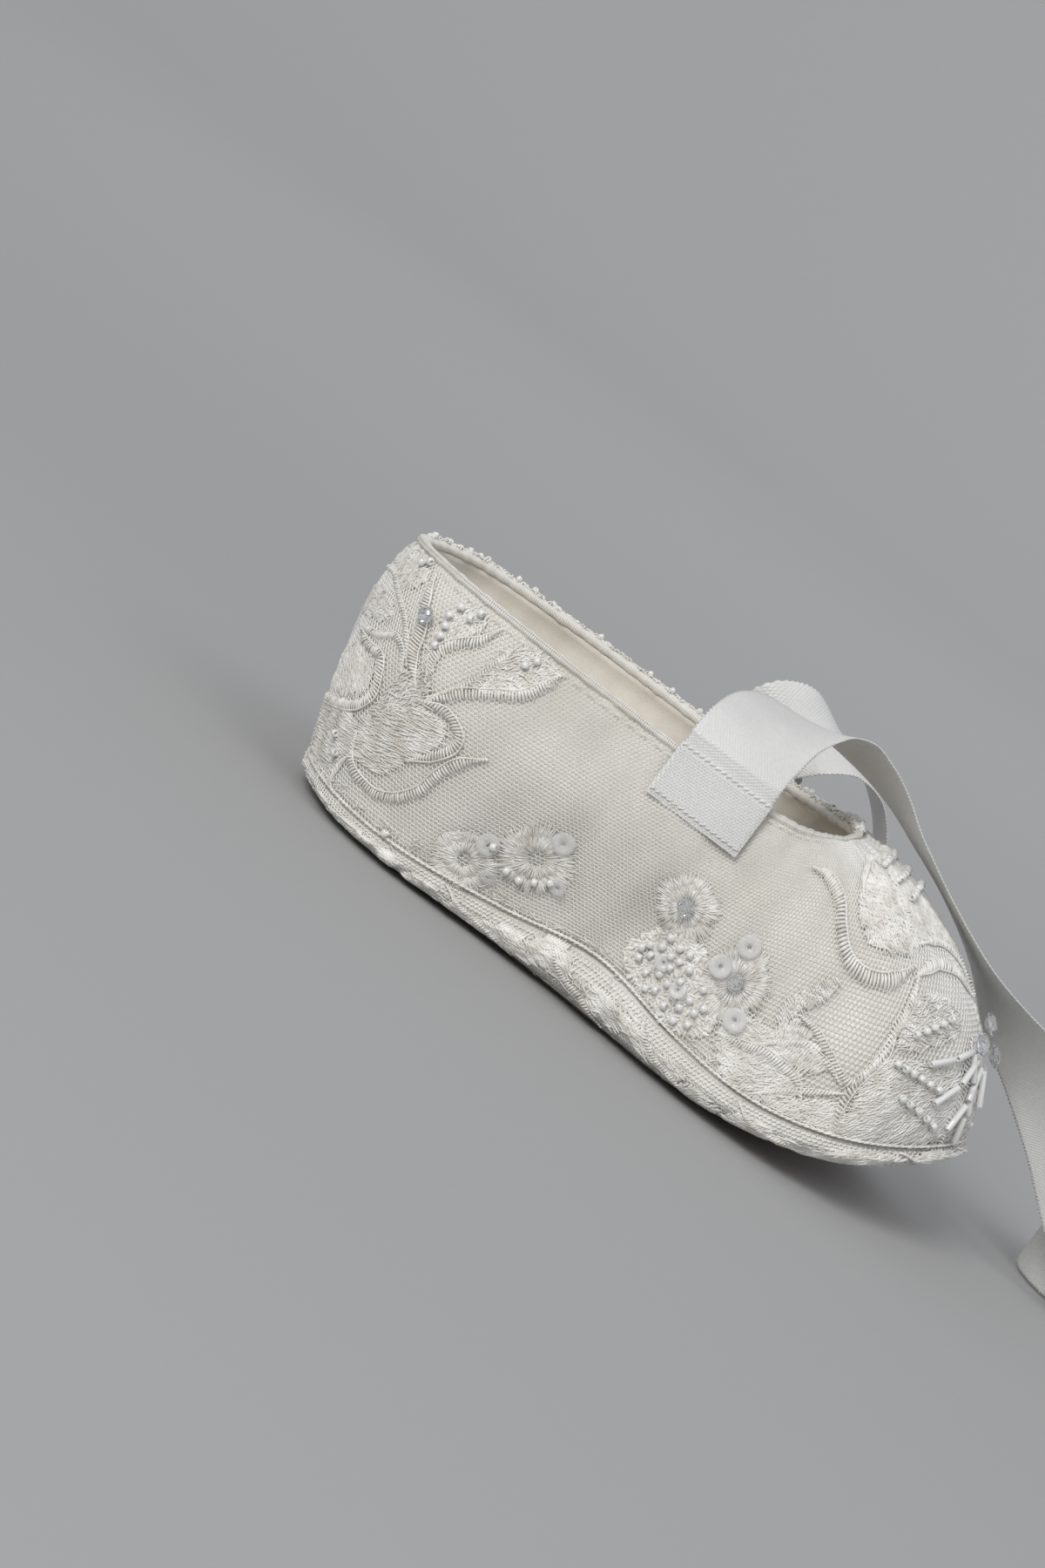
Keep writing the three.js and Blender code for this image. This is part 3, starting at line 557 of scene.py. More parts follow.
def sew_bugles(mesh, ground, starts, ends):
    """Tube beads, each lying from a start to an end in flat millimetres."""
    high = np.full(len(starts), TRIM_LIFT)
    rounded = BUGLE_RADIUS * 0.9
    for near, far in zip(ground(starts, high), ground(ends, high)):
        half = np.linalg.norm(far - near) / 2
        profile = [(BUGLE_BORE, -half), (rounded, -half), (BUGLE_RADIUS, BUGLE_EDGE - half),
                   (BUGLE_RADIUS, half - BUGLE_EDGE), (rounded, half), (BUGLE_BORE, half)]
        turned(mesh, (near + far) / 2, far - near, profile, BEAD_SIDES)


# A sequin's section for a rim of 1.35, as (radius, height).
SEQUIN = [(0.25, 0.12), (0.9, 0.0), (1.35, 0.14), (1.36, 0.09), (0.9, -0.05), (0.25, 0.06)]


def sew_sequins(mesh, ground, places, size, seed):
    """Thin clear cups, each a little tipped."""
    spots = flat_points(places)
    draw = np.random.default_rng(seed)
    centres = ground(spots, np.full(len(spots), TRIM_LIFT))
    out = unit(ground(spots, np.full(len(spots), TRIM_LIFT + 1)) - centres)
    turned(mesh, centres, out + draw.normal(0, 0.16, out.shape), np.array(SEQUIN) * size / 2.7, 18)


# A cut stone's section for a girdle of 1, as (radius, height).
STONE = [(0.0, -0.42), (0.55, -0.2), (1.0, 0.08), (1.0, 0.18), (0.78, 0.42), (0.5, 0.56), (0.0, 0.58)]


NET_JITTER = 0.03


def honeycomb(mesh, ground, round_from, round_to, low, high, cell, thread, closed, crest, back):
    """A net of six-sided meshes: each is a ring of six short threads."""
    columns = int(round((round_to - round_from) / cell))
    rows = int(round((high - low) / (cell * 0.866)))
    edge = 1 / math.sqrt(3)
    k = np.arange(2 * columns + (0 if closed else 1))
    row = np.arange(rows + 1)
    zigzag = np.where((k[None] + row[:, None]) % 2 == 0, -edge / 4, edge / 4)
    x = np.broadcast_to(k[None] / 2, zigzag.shape) / columns * (round_to - round_from) + round_from
    y = low + (row[:, None] * 1.5 * edge + zigzag + edge / 4) * (high - low) / (rows * 1.5 * edge + edge / 2)
    draw = np.random.default_rng(7)
    flat = np.stack([x, y], -1) + draw.normal(0, NET_JITTER * cell, (*x.shape, 2))
    corner = ground(flat, np.full(x.shape, crest)).reshape(-1, 3)
    cells = []
    for r in range(rows):
        first = np.arange((1 + r) % 2, 2 * columns - (0 if closed else 2), 2)
        wrap = (lambda q: q % len(k)) if closed else (lambda q: q)
        low_row, high_row = r * len(k), (r + 1) * len(k)
        cells.append(np.stack([
            low_row + wrap(first), low_row + wrap(first + 1), low_row + wrap(first + 2),
            high_row + wrap(first + 2), high_row + wrap(first + 1), high_row + wrap(first)], -1))
    cells = np.concatenate(cells)
    rim = flat.reshape(-1, 2)[cells]
    if closed:
        span = round_to - round_from
        rim[..., 0] = np.where(rim[..., 0] < rim[:, :1, 0] - span / 2, rim[..., 0] + span, rim[..., 0])
    share = thread / cell
    inner = rim + (rim.mean(1, keepdims=True) - rim) * share
    hole = ground(inner, np.full(inner.shape[:2], back))
    base = mesh.total
    mesh.points.append(np.concatenate([corner, hole.reshape(-1, 3)]))
    mesh.places.append(np.zeros((len(corner) + hole.shape[0] * 6, 2)))
    inner_index = len(corner) + np.arange(len(cells) * 6).reshape(-1, 6)
    faces = np.stack([cells, np.roll(cells, -1, 1), np.roll(inner_index, -1, 1), inner_index], -1)
    mesh.faces.append(faces.reshape(-1, 4) + base)
    mesh.total += len(corner) + len(cells) * 6


# ---- materials ----
def linear(colour):
    """An sRGB hex colour as linear RGBA."""
    parts = [int(colour[k:k + 2], 16) / 255 for k in (1, 3, 5)]
    return [p / 12.92 if p <= 0.04045 else ((p + 0.055) / 1.055) ** 2.4 for p in parts] + [1.0]


def add_node(tree, kind, settings=None, links=None):
    """Adds a node: settings are its properties or sockets' values, links its sockets' sources."""
    made = tree.nodes.new(kind)
    for key, value in (settings or {}).items():
        if isinstance(key, str) and hasattr(made, key):
            setattr(made, key, value)
        else:
            made.inputs[key].default_value = value
    for key, source in (links or {}).items():
        tree.links.new(source, made.inputs[key])
    return made


def surface(name, settings):
    """A new material with one Principled shader, and its tree."""
    material = bpy.data.materials.new(name)
    material.use_nodes = True
    tree = material.node_tree
    shader = tree.nodes["Principled BSDF"]
    for key, value in settings.items():
        shader.inputs[key].default_value = value
    return material, tree, shader


def ramp(tree, factor, stops):
    """A colour ramp from (place, colour) stops."""
    made = add_node(tree, "ShaderNodeValToRGB", links={"Fac": factor})
    elements = made.color_ramp.elements
    for k, (place, colour) in enumerate(stops):
        element = elements[k] if k < 2 else elements.new(place)
        element.position = place
        element.color = linear(colour)
    return made


def per_metre(millimetres):
    """A texture scale whose features come about that far apart, in a frame of metres."""
    return 1 / (millimetres * MM)


def noise(tree, place, millimetres, **settings):
    """Soft noise whose features come about that far apart."""
    return add_node(tree, "ShaderNodeTexNoise", {"Scale": per_metre(millimetres), **settings},
                    {"Vector": place.outputs["Object"]}).outputs["Fac"]


def blended(tree, factor, share, other):
    """A share of one value added to another."""
    return add_node(tree, "ShaderNodeMath", {"operation": "MULTIPLY_ADD", 1: share},
                    {0: factor, 2: other}).outputs[0]


def tint(tree, shader, factor, start, dark, light):
    """Colours the shader from dark to light as the factor rises from start."""
    tone = ramp(tree, factor, [(start, dark), (0.95, light)])
    tree.links.new(tone.outputs[0], shader.inputs["Base Color"])


def emboss(tree, shader, height, strength, millimetres):
    """Raises the shader's surface by a height."""
    bump = add_node(tree, "ShaderNodeBump", {"Strength": strength, "Distance": millimetres * MM},
                    {"Height": height})
    tree.links.new(bump.outputs[0], shader.inputs["Normal"])


def woven_cloth(name, dark, light, settings, thread, relief, mottle=9.0, slant=0.0):
    """Cloth with threads crossing at a real spacing, from the piece's own cut."""
    material, tree, shader = surface(name, settings)
    cut = add_node(tree, "ShaderNodeUVMap", {"uv_map": "Cloth"})
    place = add_node(tree, "ShaderNodeTexCoord")
    waves = []
    for turn in (slant, slant + math.pi / 2):
        spun = add_node(tree, "ShaderNodeMapping", {"Rotation": (0, 0, turn)}, {"Vector": cut.outputs[0]})
        waves.append(add_node(tree, "ShaderNodeTexWave", {
            "Scale": 0.314 / thread, "Distortion": 0.6, "Detail": 1.0, "Detail Scale": 2.0,
        }, {"Vector": spun.outputs[0]}))
    crossed = add_node(tree, "ShaderNodeMath", {"operation": "MULTIPLY"},
                       {0: waves[0].outputs["Fac"], 1: waves[1].outputs["Fac"]})
    slubs = noise(tree, place, 0.55, Detail=3.0, Roughness=0.6)
    cloud = noise(tree, place, mottle, Detail=2.0)
    tint(tree, shader, blended(tree, slubs, 0.45, cloud), 0.45, dark, light)
    emboss(tree, shader, blended(tree, slubs, 0.6, crossed.outputs[0]), 1.0, relief)
    return material


def spun_thread(name, dark, light, settings, twist=0.22, relief=0.03):
    """Thread or yarn, with the fine streaks of its filaments."""
    material, tree, shader = surface(name, settings)
    place = add_node(tree, "ShaderNodeTexCoord")
    streak = noise(tree, place, twist, Detail=2.0)
    cloud = noise(tree, place, 2.4, Detail=2.0)
    tint(tree, shader, blended(tree, streak, 0.5, cloud), 0.5, dark, light)
    emboss(tree, shader, streak, 0.7, relief)
    return material


def clear_glass(name, tint, settings, ripple=1.4):
    """Glass or clear film, with the slight unevenness of pressing."""
    material, tree, shader = surface(name, {"Base Color": linear(tint), **settings})
    place = add_node(tree, "ShaderNodeTexCoord")
    emboss(tree, shader, noise(tree, place, ripple, Detail=1.0), 0.35, 0.02)
    return material


def suede(name, dark, light):
    """Split leather with a brushed nap: dull, with short tufts that catch the light unevenly."""
    material, tree, shader = surface(name, {"Roughness": 0.95, "Sheen Weight": 0.5, "Sheen Roughness": 0.6})
    place = add_node(tree, "ShaderNodeTexCoord")
    nap = noise(tree, place, 0.5, Detail=5.0, Roughness=0.7)
    brushed = noise(tree, place, 7.0, Detail=2.0)
    tint(tree, shader, blended(tree, nap, 0.6, brushed), 0.5, dark, light)
    emboss(tree, shader, nap, 0.8, 0.12)
    return material


# ---- the maker's sizes and colours ----
def length_property(name, description, default):
    """A length in millimetres that a user may change."""
    return bpy.props.FloatProperty(name=name, description=description + ", in millimetres", default=default,
                                   min=0.0, precision=3)


def colour_property(name, description, default):
    """A colour as an sRGB hex value."""
    return bpy.props.StringProperty(name=name, description=description, default=default)


class SlipperSizes(bpy.types.PropertyGroup):
    net_cell: length_property("Net mesh", "Width of one mesh of the tulle", 0.68)
    net_thread: length_property("Net thread", "Width of the tulle's threads", 0.1)
    cord_width: length_property("Cord width", "Width of a raised satin-stitch cord", 1.5)
    seed_bead: length_property("Round bead", "Radius of a round glass bead", 0.6)
    large_stone: length_property("Toe stone", "Diameter of the cut stones at the toe", 3.6)
    small_stone: length_property("Flower stone", "Diameter of the cut stones in the flowers", 2.6)
    ribbon_width: length_property("Ribbon width", "Width of the satin ties", 15.0)
    ribbon_length: length_property("Ribbon length", "Length of each tie with its sewn end", 210.0)


class SlipperColours(bpy.types.PropertyGroup):
    satin_light: colour_property("Satin", "Ivory satin where it is lit", "#faf8f2")
    satin_dark: colour_property("Satin hollows", "Ivory satin in its hollows", "#efeadf")
    lining_light: colour_property("Lining", "Lining where it is lit", "#ece7dd")
    lining_dark: colour_property("Lining hollows", "Lining in its hollows", "#ddd4c7")
    net: colour_property("Net", "Nylon tulle", "#f8f7f3")
    thread_light: colour_property("Thread", "Embroidery thread where it is lit", "#fefdf9")
    thread_dark: colour_property("Thread shade", "Embroidery thread between its strands", "#dfdbd2")
    ribbon_light: colour_property("Ribbon", "Satin ribbon", "#e9e9e7")
    ribbon_dark: colour_property("Ribbon shade", "Satin ribbon between its threads", "#d6d6d3")
    suede_light: colour_property("Suede", "Blush suede, brushed", "#d3bcb4")
    suede_dark: colour_property("Suede shade", "Blush suede between its tufts", "#b59d95")
    backdrop: colour_property("Backdrop", "Paper sweep that the slipper stands on", "#aeaeae")


def sizes():
    return bpy.context.scene.slipper_sizes


def colours():
    return bpy.context.scene.slipper_colours


MATERIALS = {}


def make_materials():
    """Every finish of the slipper, by the name that the pieces use."""
    c = colours()
    # Duchess satin, woven: long floats give it a soft sheen, which the net over it breaks into grains.
    MATERIALS["satin"] = woven_cloth("duchess_satin_woven", c.satin_dark, c.satin_light, {
        "Roughness": 0.5, "Sheen Weight": 0.35, "Sheen Roughness": 0.4, "Specular IOR Level": 0.4,
    }, thread=0.34, relief=0.07)
    # The same satin under the sole's lace, whiter for the threads that cover it.
    MATERIALS["sole_satin"] = woven_cloth("lace_backing_woven", c.thread_dark, c.thread_light, {
        "Roughness": 0.6, "Sheen Weight": 0.3, "Sheen Roughness": 0.5, "Specular IOR Level": 0.35,
    }, thread=0.34, relief=0.08)
    # Cotton sateen, woven and pressed: smooth and nearly matt.
    MATERIALS["lining"] = woven_cloth("cotton_sateen_woven", c.lining_dark, c.lining_light, {
        "Roughness": 0.62, "Sheen Weight": 0.2, "Sheen Roughness": 0.5, "Specular IOR Level": 0.3,
    }, thread=0.3, relief=0.03, mottle=14.0)
    # Nylon tulle, knitted and heat set: thin glossy threads with open meshes.
    MATERIALS["net"] = spun_thread("nylon_tulle_knitted", c.net, c.net, {
        "Roughness": 0.42, "Specular IOR Level": 0.5, "Sheen Weight": 0.15,
    })
    # Rayon floss in satin stitch: bright along each strand, shaded between strands.
    MATERIALS["thread"] = spun_thread("rayon_floss_stitched", c.thread_dark, c.thread_light, {
        "Roughness": 0.33, "Specular IOR Level": 0.65, "Sheen Weight": 0.25, "Sheen Roughness": 0.3,
        "Anisotropic": 0.4,
    })
    # Double-faced polyester satin, woven: fine slanting floats and a cool soft gloss.
    MATERIALS["ribbon"] = woven_cloth("polyester_satin_ribbon_woven", c.ribbon_dark, c.ribbon_light, {
        "Roughness": 0.36, "Specular IOR Level": 0.55, "Sheen Weight": 0.15, "Anisotropic": 0.6,
    }, thread=0.42, relief=0.05, mottle=18.0, slant=0.6)
    # Suede split, brushed: dull, with a nap.
    MATERIALS["suede"] = suede("pigskin_suede_brushed", c.suede_dark, c.suede_light)
    # Felted wadding: dull and soft.
    MATERIALS["wadding"] = spun_thread("polyester_wadding_felted", c.lining_dark, c.lining_light,
                                       {"Roughness": 0.95, "Sheen Weight": 0.3}, twist=1.2, relief=0.2)
    # Pressed glass beads: clear to milky, with small sharp lights.
    MATERIALS["bead"] = clear_glass("pressed_glass_bead", "#fafaf8", {
        "Roughness": 0.12, "IOR": 1.52, "Transmission Weight": 0.12, "Coat Weight": 0.8,
        "Coat Roughness": 0.03,
    })
    # Cut lead crystal, polished: bright facets beside dark ones.
    MATERIALS["stone"] = clear_glass("lead_crystal_cut", "#f6f8fa", {
        "Roughness": 0.0, "IOR": 1.6, "Transmission Weight": 0.9, "Coat Weight": 0.3,
    }, ripple=6.0)
    # Thin film sequin, pressed: nearly clear, seen by its rim and a soft gloss.
    MATERIALS["sequin"] = clear_glass("polyester_sequin_pressed", "#fbfbfa", {
        "Roughness": 0.12, "IOR": 1.4, "Alpha": 0.42, "Specular IOR Level": 0.7,
    })


# ---- upper ----
def cloth_ring(name, face, back, v_from, v_to, material, slot, replaced, taper=0.0, rows=44, around=360):
    """A closed sheet round the foot, with its face, back and both edges."""
    u = np.linspace(0, 1, around, endpoint=False)
    v = np.linspace(v_from, v_to, rows)
    heights = np.concatenate([v, v[::-1]])
    lifts = np.concatenate([np.full(rows, face), np.full(rows, back)])
    uu, vv = np.meshgrid(u, heights, indexing="ij")
    points = upper(uu, vv, lifts + taper * collar_taper(vv))
    mesh = Quads()
    mesh.grid(points, wrap_rows=True, wrap_columns=True, place=np.stack([uu * ROUND, vv * RISE], -1))
    return mesh.piece(name, material, slot, replaced)


def make_upper():
    satin = cloth_ring("satin_upper", 0.0, SATIN_BACK, 0.0, TOPLINE_V, MATERIALS["satin"], "satin",
                       ["upper_satin"])
    lining = cloth_ring("upper_lining_sateen", LINING_BACK, LINING_FACE, 0.03, TOPLINE_V, MATERIALS["lining"],
                        "lining", ["upper_lining"], taper=COLLAR_THIN)
    for node in ("heel_counter", "toe_puff"):
        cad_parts[node].data.materials.clear()
        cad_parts[node].data.materials.append(MATERIALS["wadding"])


def make_net():
    """The tulle in two halves that meet at the heel and the toe."""
    s = sizes()
    for side, start, replaced in (("right", 0.0, ["tulle_overlay"]), ("left", ROUND / 2, [])):
        mesh = Quads()
        honeycomb(mesh, upper_ground(False), start, start + ROUND / 2, -0.4, RISE * TOPLINE_V, s.net_cell,
                  s.net_thread, False, NET_CREST, NET_BACK)
        mesh.piece(f"tulle_net_{side}", MATERIALS["net"], "tulle", replaced)


# How far the lining comes out at the collar, and the edging's half width and half height.
COLLAR_THIN = 1.95
BINDING_MIDDLE = (NET_CREST + LINING_FACE + COLLAR_THIN) / 2
BINDING_REACH = 1.06
BINDING_RISE = 0.6
COLLAR_V = 0.985


def collar_taper(v):
    """How much nearer the lining comes to the satin towards the collar's edge, from 0 to 1."""
    t = np.clip((v - 0.78) / 0.16, 0, 1)
    return t * t * (3 - 2 * t)


def make_binding():
    """The satin edging folded over all the layers, with its puckers and its row of stitches."""
    around, section = 720, 20
    u = np.linspace(0, 1, around, endpoint=False)
    angle = -np.arange(section) / section * 2 * math.pi
    uu, aa = np.meshgrid(u, angle, indexing="ij")
    _, up, out = axes_at(uu, np.full(uu.shape, COLLAR_V))
    up = unit(up)
    pucker = 0.10 * np.sin(2 * math.pi * u * ROUND / 2.6) + 0.07 * np.sin(2 * math.pi * u * 43 + 1)
    square = lambda wave: np.sign(wave) * np.abs(wave) ** 0.7
    offset = BINDING_MIDDLE + (BINDING_REACH + pucker[:, None] * 0.6) * square(np.cos(aa))
    rise = (BINDING_RISE + pucker[:, None] * 0.5) * square(np.sin(aa))
    base = satin_face(uu, np.full(uu.shape, COLLAR_V))
    mesh = Quads()
    mesh.grid(base + out * offset[..., None] + up * rise[..., None], wrap_rows=True, wrap_columns=True,
              place=np.stack([uu * ROUND, aa * 2.0], -1))
    mesh.piece("topline_satin_edging", MATERIALS["satin"], "satin", ["topline_binding"])
    stitches = Quads()
    count = 110
    starts = np.stack([np.arange(count) / count * ROUND, np.full(count, RISE * 0.945)], -1)
    sew(stitches, upper_ground(False), starts, starts + [1.5, 0.0], np.full(count, 0.1), thickness=0.13)
    stitches.piece("topline_stitching", MATERIALS["thread"], "satin")


# ---- sole ----
# Under the sole: shares of the way out to its edge, then the inset and the height there.
BOTTOM_SHARES = np.array([0.0, 0.5, 0.93])
BOTTOM_INSET = 3.0
BOTTOM_HEIGHT = 0.8


def make_sole():
    around, rows = 400, 30
    u = np.linspace(0, 1, around, endpoint=False)
    mesh = Quads()
    uu = u[:, None] + 0 * BOTTOM_SHARES
    low = sole_at(uu, BOTTOM_SHARES, BOTTOM_INSET, BOTTOM_HEIGHT)
    w = np.linspace(0, 1, rows)
    uw, ww = np.meshgrid(u, w, indexing="ij")
    wall = sole_wall(uw, ww, wrinkle(uw, ww))
    tuck = sole_at(u[:, None] + np.zeros(2), 1.0, np.array([1.4, 3.0]), last_at(u)[:, 2:3] - [0.4, 0.8])
    points = np.concatenate([low, wall, tuck], 1)
    place = np.stack([np.broadcast_to(u[:, None] * ROUND, points.shape[:2]),
                      np.broadcast_to(np.arange(points.shape[1]) * 0.3, points.shape[:2])], -1)
    mesh.grid(points, wrap_rows=True, place=place)
    cover = mesh.piece("sole_cover_satin", MATERIALS["sole_satin"], "embroidery",
                       ["sole_cover", "sole_wadding"])
    make_sole_lace()
    make_sole_patch()
    make_sock()


LACE_OVALS = 34
LACE_CORDS = 14
SEAM_TWISTS = 150
SEAM_STRAND = 0.13


def make_sole_lace():
    """Embroidered net wrapped over the sole's edge, gathered, with its worn ends standing out."""
    s = sizes()
    net = Quads()
    honeycomb(net, sole_ground, 0.0, ROUND, 0.2, SOLE_WALL - 0.2, s.net_cell, s.net_thread, True, 0.42, 0.22)
    net.piece("sole_lace_net", MATERIALS["net"], "embroidery", ["sole_lace_band"])
    draw = np.random.default_rng(11)
    lace = Quads()
    for k in range(LACE_OVALS):
        a = (k + draw.uniform(-0.3, 0.3)) / LACE_OVALS * ROUND
        b = draw.uniform(2.0, 4.8)
        long, tall = draw.uniform(3.0, 5.4), draw.uniform(1.2, 2.2)
        lean = draw.uniform(-0.5, 0.5)
        angle = np.arange(8) / 8 * 2 * math.pi
        oval = np.stack([a + long * np.cos(angle), b + tall * np.sin(angle) + lean * np.cos(angle)], -1)
        long_short_fill(lace, sole_ground, oval, angle=draw.uniform(-0.5, 0.9), length=2.0, spacing=0.36,
                        crest=0.3, wander=0.25, seed=200 + k, base=0.45, flat=True)
    for k in range(LACE_CORDS):
        a = (k + 0.5 + draw.uniform(-0.3, 0.3)) / LACE_CORDS * ROUND
        lean = draw.choice([-1, 1])
        line = [(a - 6 * lean, 0.6), (a - 2 * lean, 2.6), (a + 3 * lean, 3.6), (a + 7 * lean, 6.2)]
        satin_cord(lace, sole_ground, line, 1.0, 0.5, seed=300 + k, flat=True)
    lace.piece("sole_lace_embroidery", MATERIALS["thread"], "embroidery")
    edge_ground = upper_ground(False)
    for name, ground, count, band, flatness, lengths, crests, thickness, base in (
            ("sole_frayed_fibres", sole_ground, 420, (0.1, 6.8), 0.4, (1.0, 3.4), (0.25, 1.0), 0.05, 0.3),
            ("seam_lace_edge", edge_ground, 520, (-0.3, 2.2), 0.5, (0.8, 2.6), (0.1, 0.45), 0.09, 0.55)):
        fibres = Quads()
        starts = np.stack([draw.uniform(0, ROUND, count), draw.uniform(*band, count)], -1)
        heading = draw.uniform(0, 2 * math.pi, count)
        way = np.stack([np.cos(heading), flatness * np.sin(heading)], -1)
        ends = starts + way * draw.uniform(*lengths, count)[:, None]
        sew(fibres, ground, starts, ends, draw.uniform(*crests, count), thickness=thickness, base=base)
        fibres.piece(name, MATERIALS["thread"], "embroidery")
    seam = Quads()
    u = np.linspace(0, 1, 900, endpoint=False)
    path = sole_at(u, 1.0, -(NET_CREST + 0.25), last_at(u)[:, 2] + 0.05)
    out = np.concatenate([plan_normal(u), np.zeros((len(u), 1))], -1)
    for phase in (0.0, math.pi):
        twist = 2 * math.pi * u * SEAM_TWISTS + phase
        strand = path + 0.1 * (out * np.cos(twist)[:, None] + np.array([0, 0, 1]) * np.sin(twist)[:, None])
        tube(seam, strand, out, SEAM_STRAND, sides=6, closed=True)
    seam.piece("sole_seam_cord", MATERIALS["thread"], "embroidery", ["sole_seam_thread"])


def make_sole_patch():
    """The suede patch under the sole, with a softly rolled cut edge."""
    u = np.linspace(0, 1, 240, endpoint=False)
    section = np.array([
        (0.0, 5.5, 0.0), (0.4, 5.5, 0.0), (0.8, 5.5, 0.0), (1.0, 5.75, 0.0), (1.0, 5.5, 0.12),
        (1.0, 5.5, 0.40), (1.0, 5.75, 0.5), (0.8, 5.5, 0.5), (0.4, 5.5, 0.5), (0.0, 5.5, 0.5),
    ])
    uu = u[:, None] + np.zeros(len(section))
    points = sole_at(uu, section[:, 0], section[:, 1], section[:, 2] + 0 * uu)
    mesh = Quads()
    mesh.grid(points, wrap_rows=True)
    mesh.piece("suede_sole_patch", MATERIALS["suede"], "suede", ["outsole_patch"])


SOCK_CROWN = 5.5
SOCK_INSET = 4.15


def make_sock():
    """The padded sock lining: crowned in the middle and sunk at its sewn edge."""
    u = np.linspace(0, 1, 240, endpoint=False)
    shares = np.array([0.0, 0.2, 0.4, 0.6, 0.75, 0.88, 0.96, 1.0])
    seam = last_at(u)[:, 2:3]
    edge = seam * 0.75 - 1.2
    top = edge + (SOCK_CROWN - edge) * np.sqrt(np.clip(1 - shares**4, 0, 1))
    dimple = 0.25 * np.sin(2 * math.pi * u[:, None] * 9) * shares**2 * (1 - shares)
    uu = u[:, None] + 0 * shares
    upper_points = sole_at(uu, shares, SOCK_INSET, top + dimple)
    lower_points = sole_at(uu, shares[::-1], SOCK_INSET, edge - 0.7 + 0 * shares)
    mesh = Quads()
    points = np.concatenate([upper_points, lower_points], 1)
    mesh.grid(points, wrap_rows=True, place=points[..., :2])
    sock = mesh.piece("sock_lining_pad", MATERIALS["lining"], "lining", ["sock_lining"])


# ---- embroidery ----
def embroidery(name, mesh, replaced=()):
    return mesh.piece(name, MATERIALS["thread"], "embroidery", replaced)


def stitch_rows(mesh, ground, rows, seed):
    """Sews rows of (kind of stitch, its line or outline, its settings), each with a seed of its own."""
    for k, (kind, places, settings) in enumerate(rows):
        kind(mesh, ground, places, seed=seed + k, **settings)


def heel_stitches(wide):
    """The heel's rows of stitches; wide is a cord's full width."""
    return [
        (satin_cord, [(0.059, 0.93), (0.066, 0.83), (0.074, 0.74), (0.078, 0.64), (0.088, 0.56)],
         dict(width=1.9, crest=0.75)),
        (long_short_fill, [(0.078, 0.58), (0.09, 0.61), (0.099, 0.53), (0.084, 0.42), (0.071, 0.36),
         (0.074, 0.48)], dict(angle=1.0, crest=0.55, wander=0.4)),
        (satin_cord, [(0.092, 0.6), (0.088, 0.69), (0.091, 0.76), (0.097, 0.81), (0.103, 0.85),
         (0.108, 0.93)], dict(width=wide, crest=0.6)),
        (long_short_fill, [(0.092, 0.62), (0.09, 0.74), (0.1, 0.9), (0.09, 0.93), (0.08, 0.85),
         (0.083, 0.7)], dict(angle=1.9, crest=0.3, wander=0.6)),
        (long_short_fill, [(0.112, 0.69), (0.115, 0.8), (0.121, 0.93), (0.146, 0.94), (0.142, 0.84),
         (0.128, 0.74)], dict(angle=0.9, crest=0.42, wander=0.5)),
        (satin_cord, [(0.097, 0.54), (0.104, 0.6), (0.112, 0.66), (0.126, 0.73), (0.138, 0.8),
         (0.147, 0.93)], dict(width=wide * 1.15, crest=0.5, slant=0.1)),
        (satin_cord, [(0.097, 0.56), (0.108, 0.66), (0.113, 0.75), (0.118, 0.86), (0.121, 0.94)],
         dict(width=0.9, crest=0.45)),
        (long_short_fill, [(0.064, 0.28), (0.083, 0.44), (0.098, 0.51), (0.112, 0.5), (0.112, 0.4),
         (0.101, 0.29), (0.09, 0.19), (0.071, 0.18)],
         dict(angle=0.25, length=3.0, crest=0.5, wander=0.16)),
        (satin_cord, [(0.094, 0.53), (0.108, 0.555), (0.12, 0.52), (0.122, 0.46), (0.115, 0.39),
         (0.103, 0.31)], dict(width=wide, crest=0.6)),
        (satin_cord, [(0.066, 0.26), (0.069, 0.17), (0.079, 0.125), (0.093, 0.115), (0.106, 0.155),
         (0.117, 0.24), (0.122, 0.34), (0.128, 0.42), (0.139, 0.5)],
         dict(width=wide * 1.1, crest=0.6, slant=0.1)),
        (long_short_fill, [(-0.004, 0.1), (0.012, 0.22), (0.052, 0.29), (0.063, 0.25), (0.066, 0.17),
         (0.046, 0.06), (0.015, 0.03)], dict(angle=0.1, length=2.8, crest=0.5)),
        (satin_cord, [(0.0, 0.8), (0.02, 0.82), (0.038, 0.79), (0.054, 0.75), (0.07, 0.68), (0.078, 0.6)],
         dict(width=0.9, crest=0.55)),
        (satin_cord, [(0.026, 0.58), (0.044, 0.545), (0.06, 0.555), (0.065, 0.49), (0.066, 0.41),
         (0.056, 0.33), (0.034, 0.27), (0.014, 0.24), (0.0, 0.25)], dict(width=wide, crest=0.65)),
        (satin_cord, [(0.024, 0.58), (0.046, 0.6), (0.061, 0.65), (0.072, 0.63), (0.077, 0.57)],
         dict(width=wide * 0.8, crest=0.5)),
        (long_short_fill, [(0.004, 0.34), (0.02, 0.5), (0.04, 0.52), (0.058, 0.5), (0.058, 0.4),
         (0.04, 0.32), (0.018, 0.29)], dict(angle=2.2, crest=0.35, wander=0.5)),
        (satin_cord, [(0.069, 0.18), (0.062, 0.1), (0.06, 0.03), (0.066, 0.0)],
         dict(width=wide * 0.8, crest=0.5)),
        (long_short_fill, [(-0.003, 0.84), (0.006, 0.93), (0.028, 0.955), (0.054, 0.91), (0.046, 0.82),
         (0.021, 0.85)], dict(angle=1.3, crest=0.35, wander=0.6)),
        (long_short_fill, [(-0.004, 0.62), (0.012, 0.72), (0.036, 0.74), (0.05, 0.69), (0.036, 0.64),
         (0.014, 0.61)], dict(angle=0.4, crest=0.35, wander=0.5)),
    ]


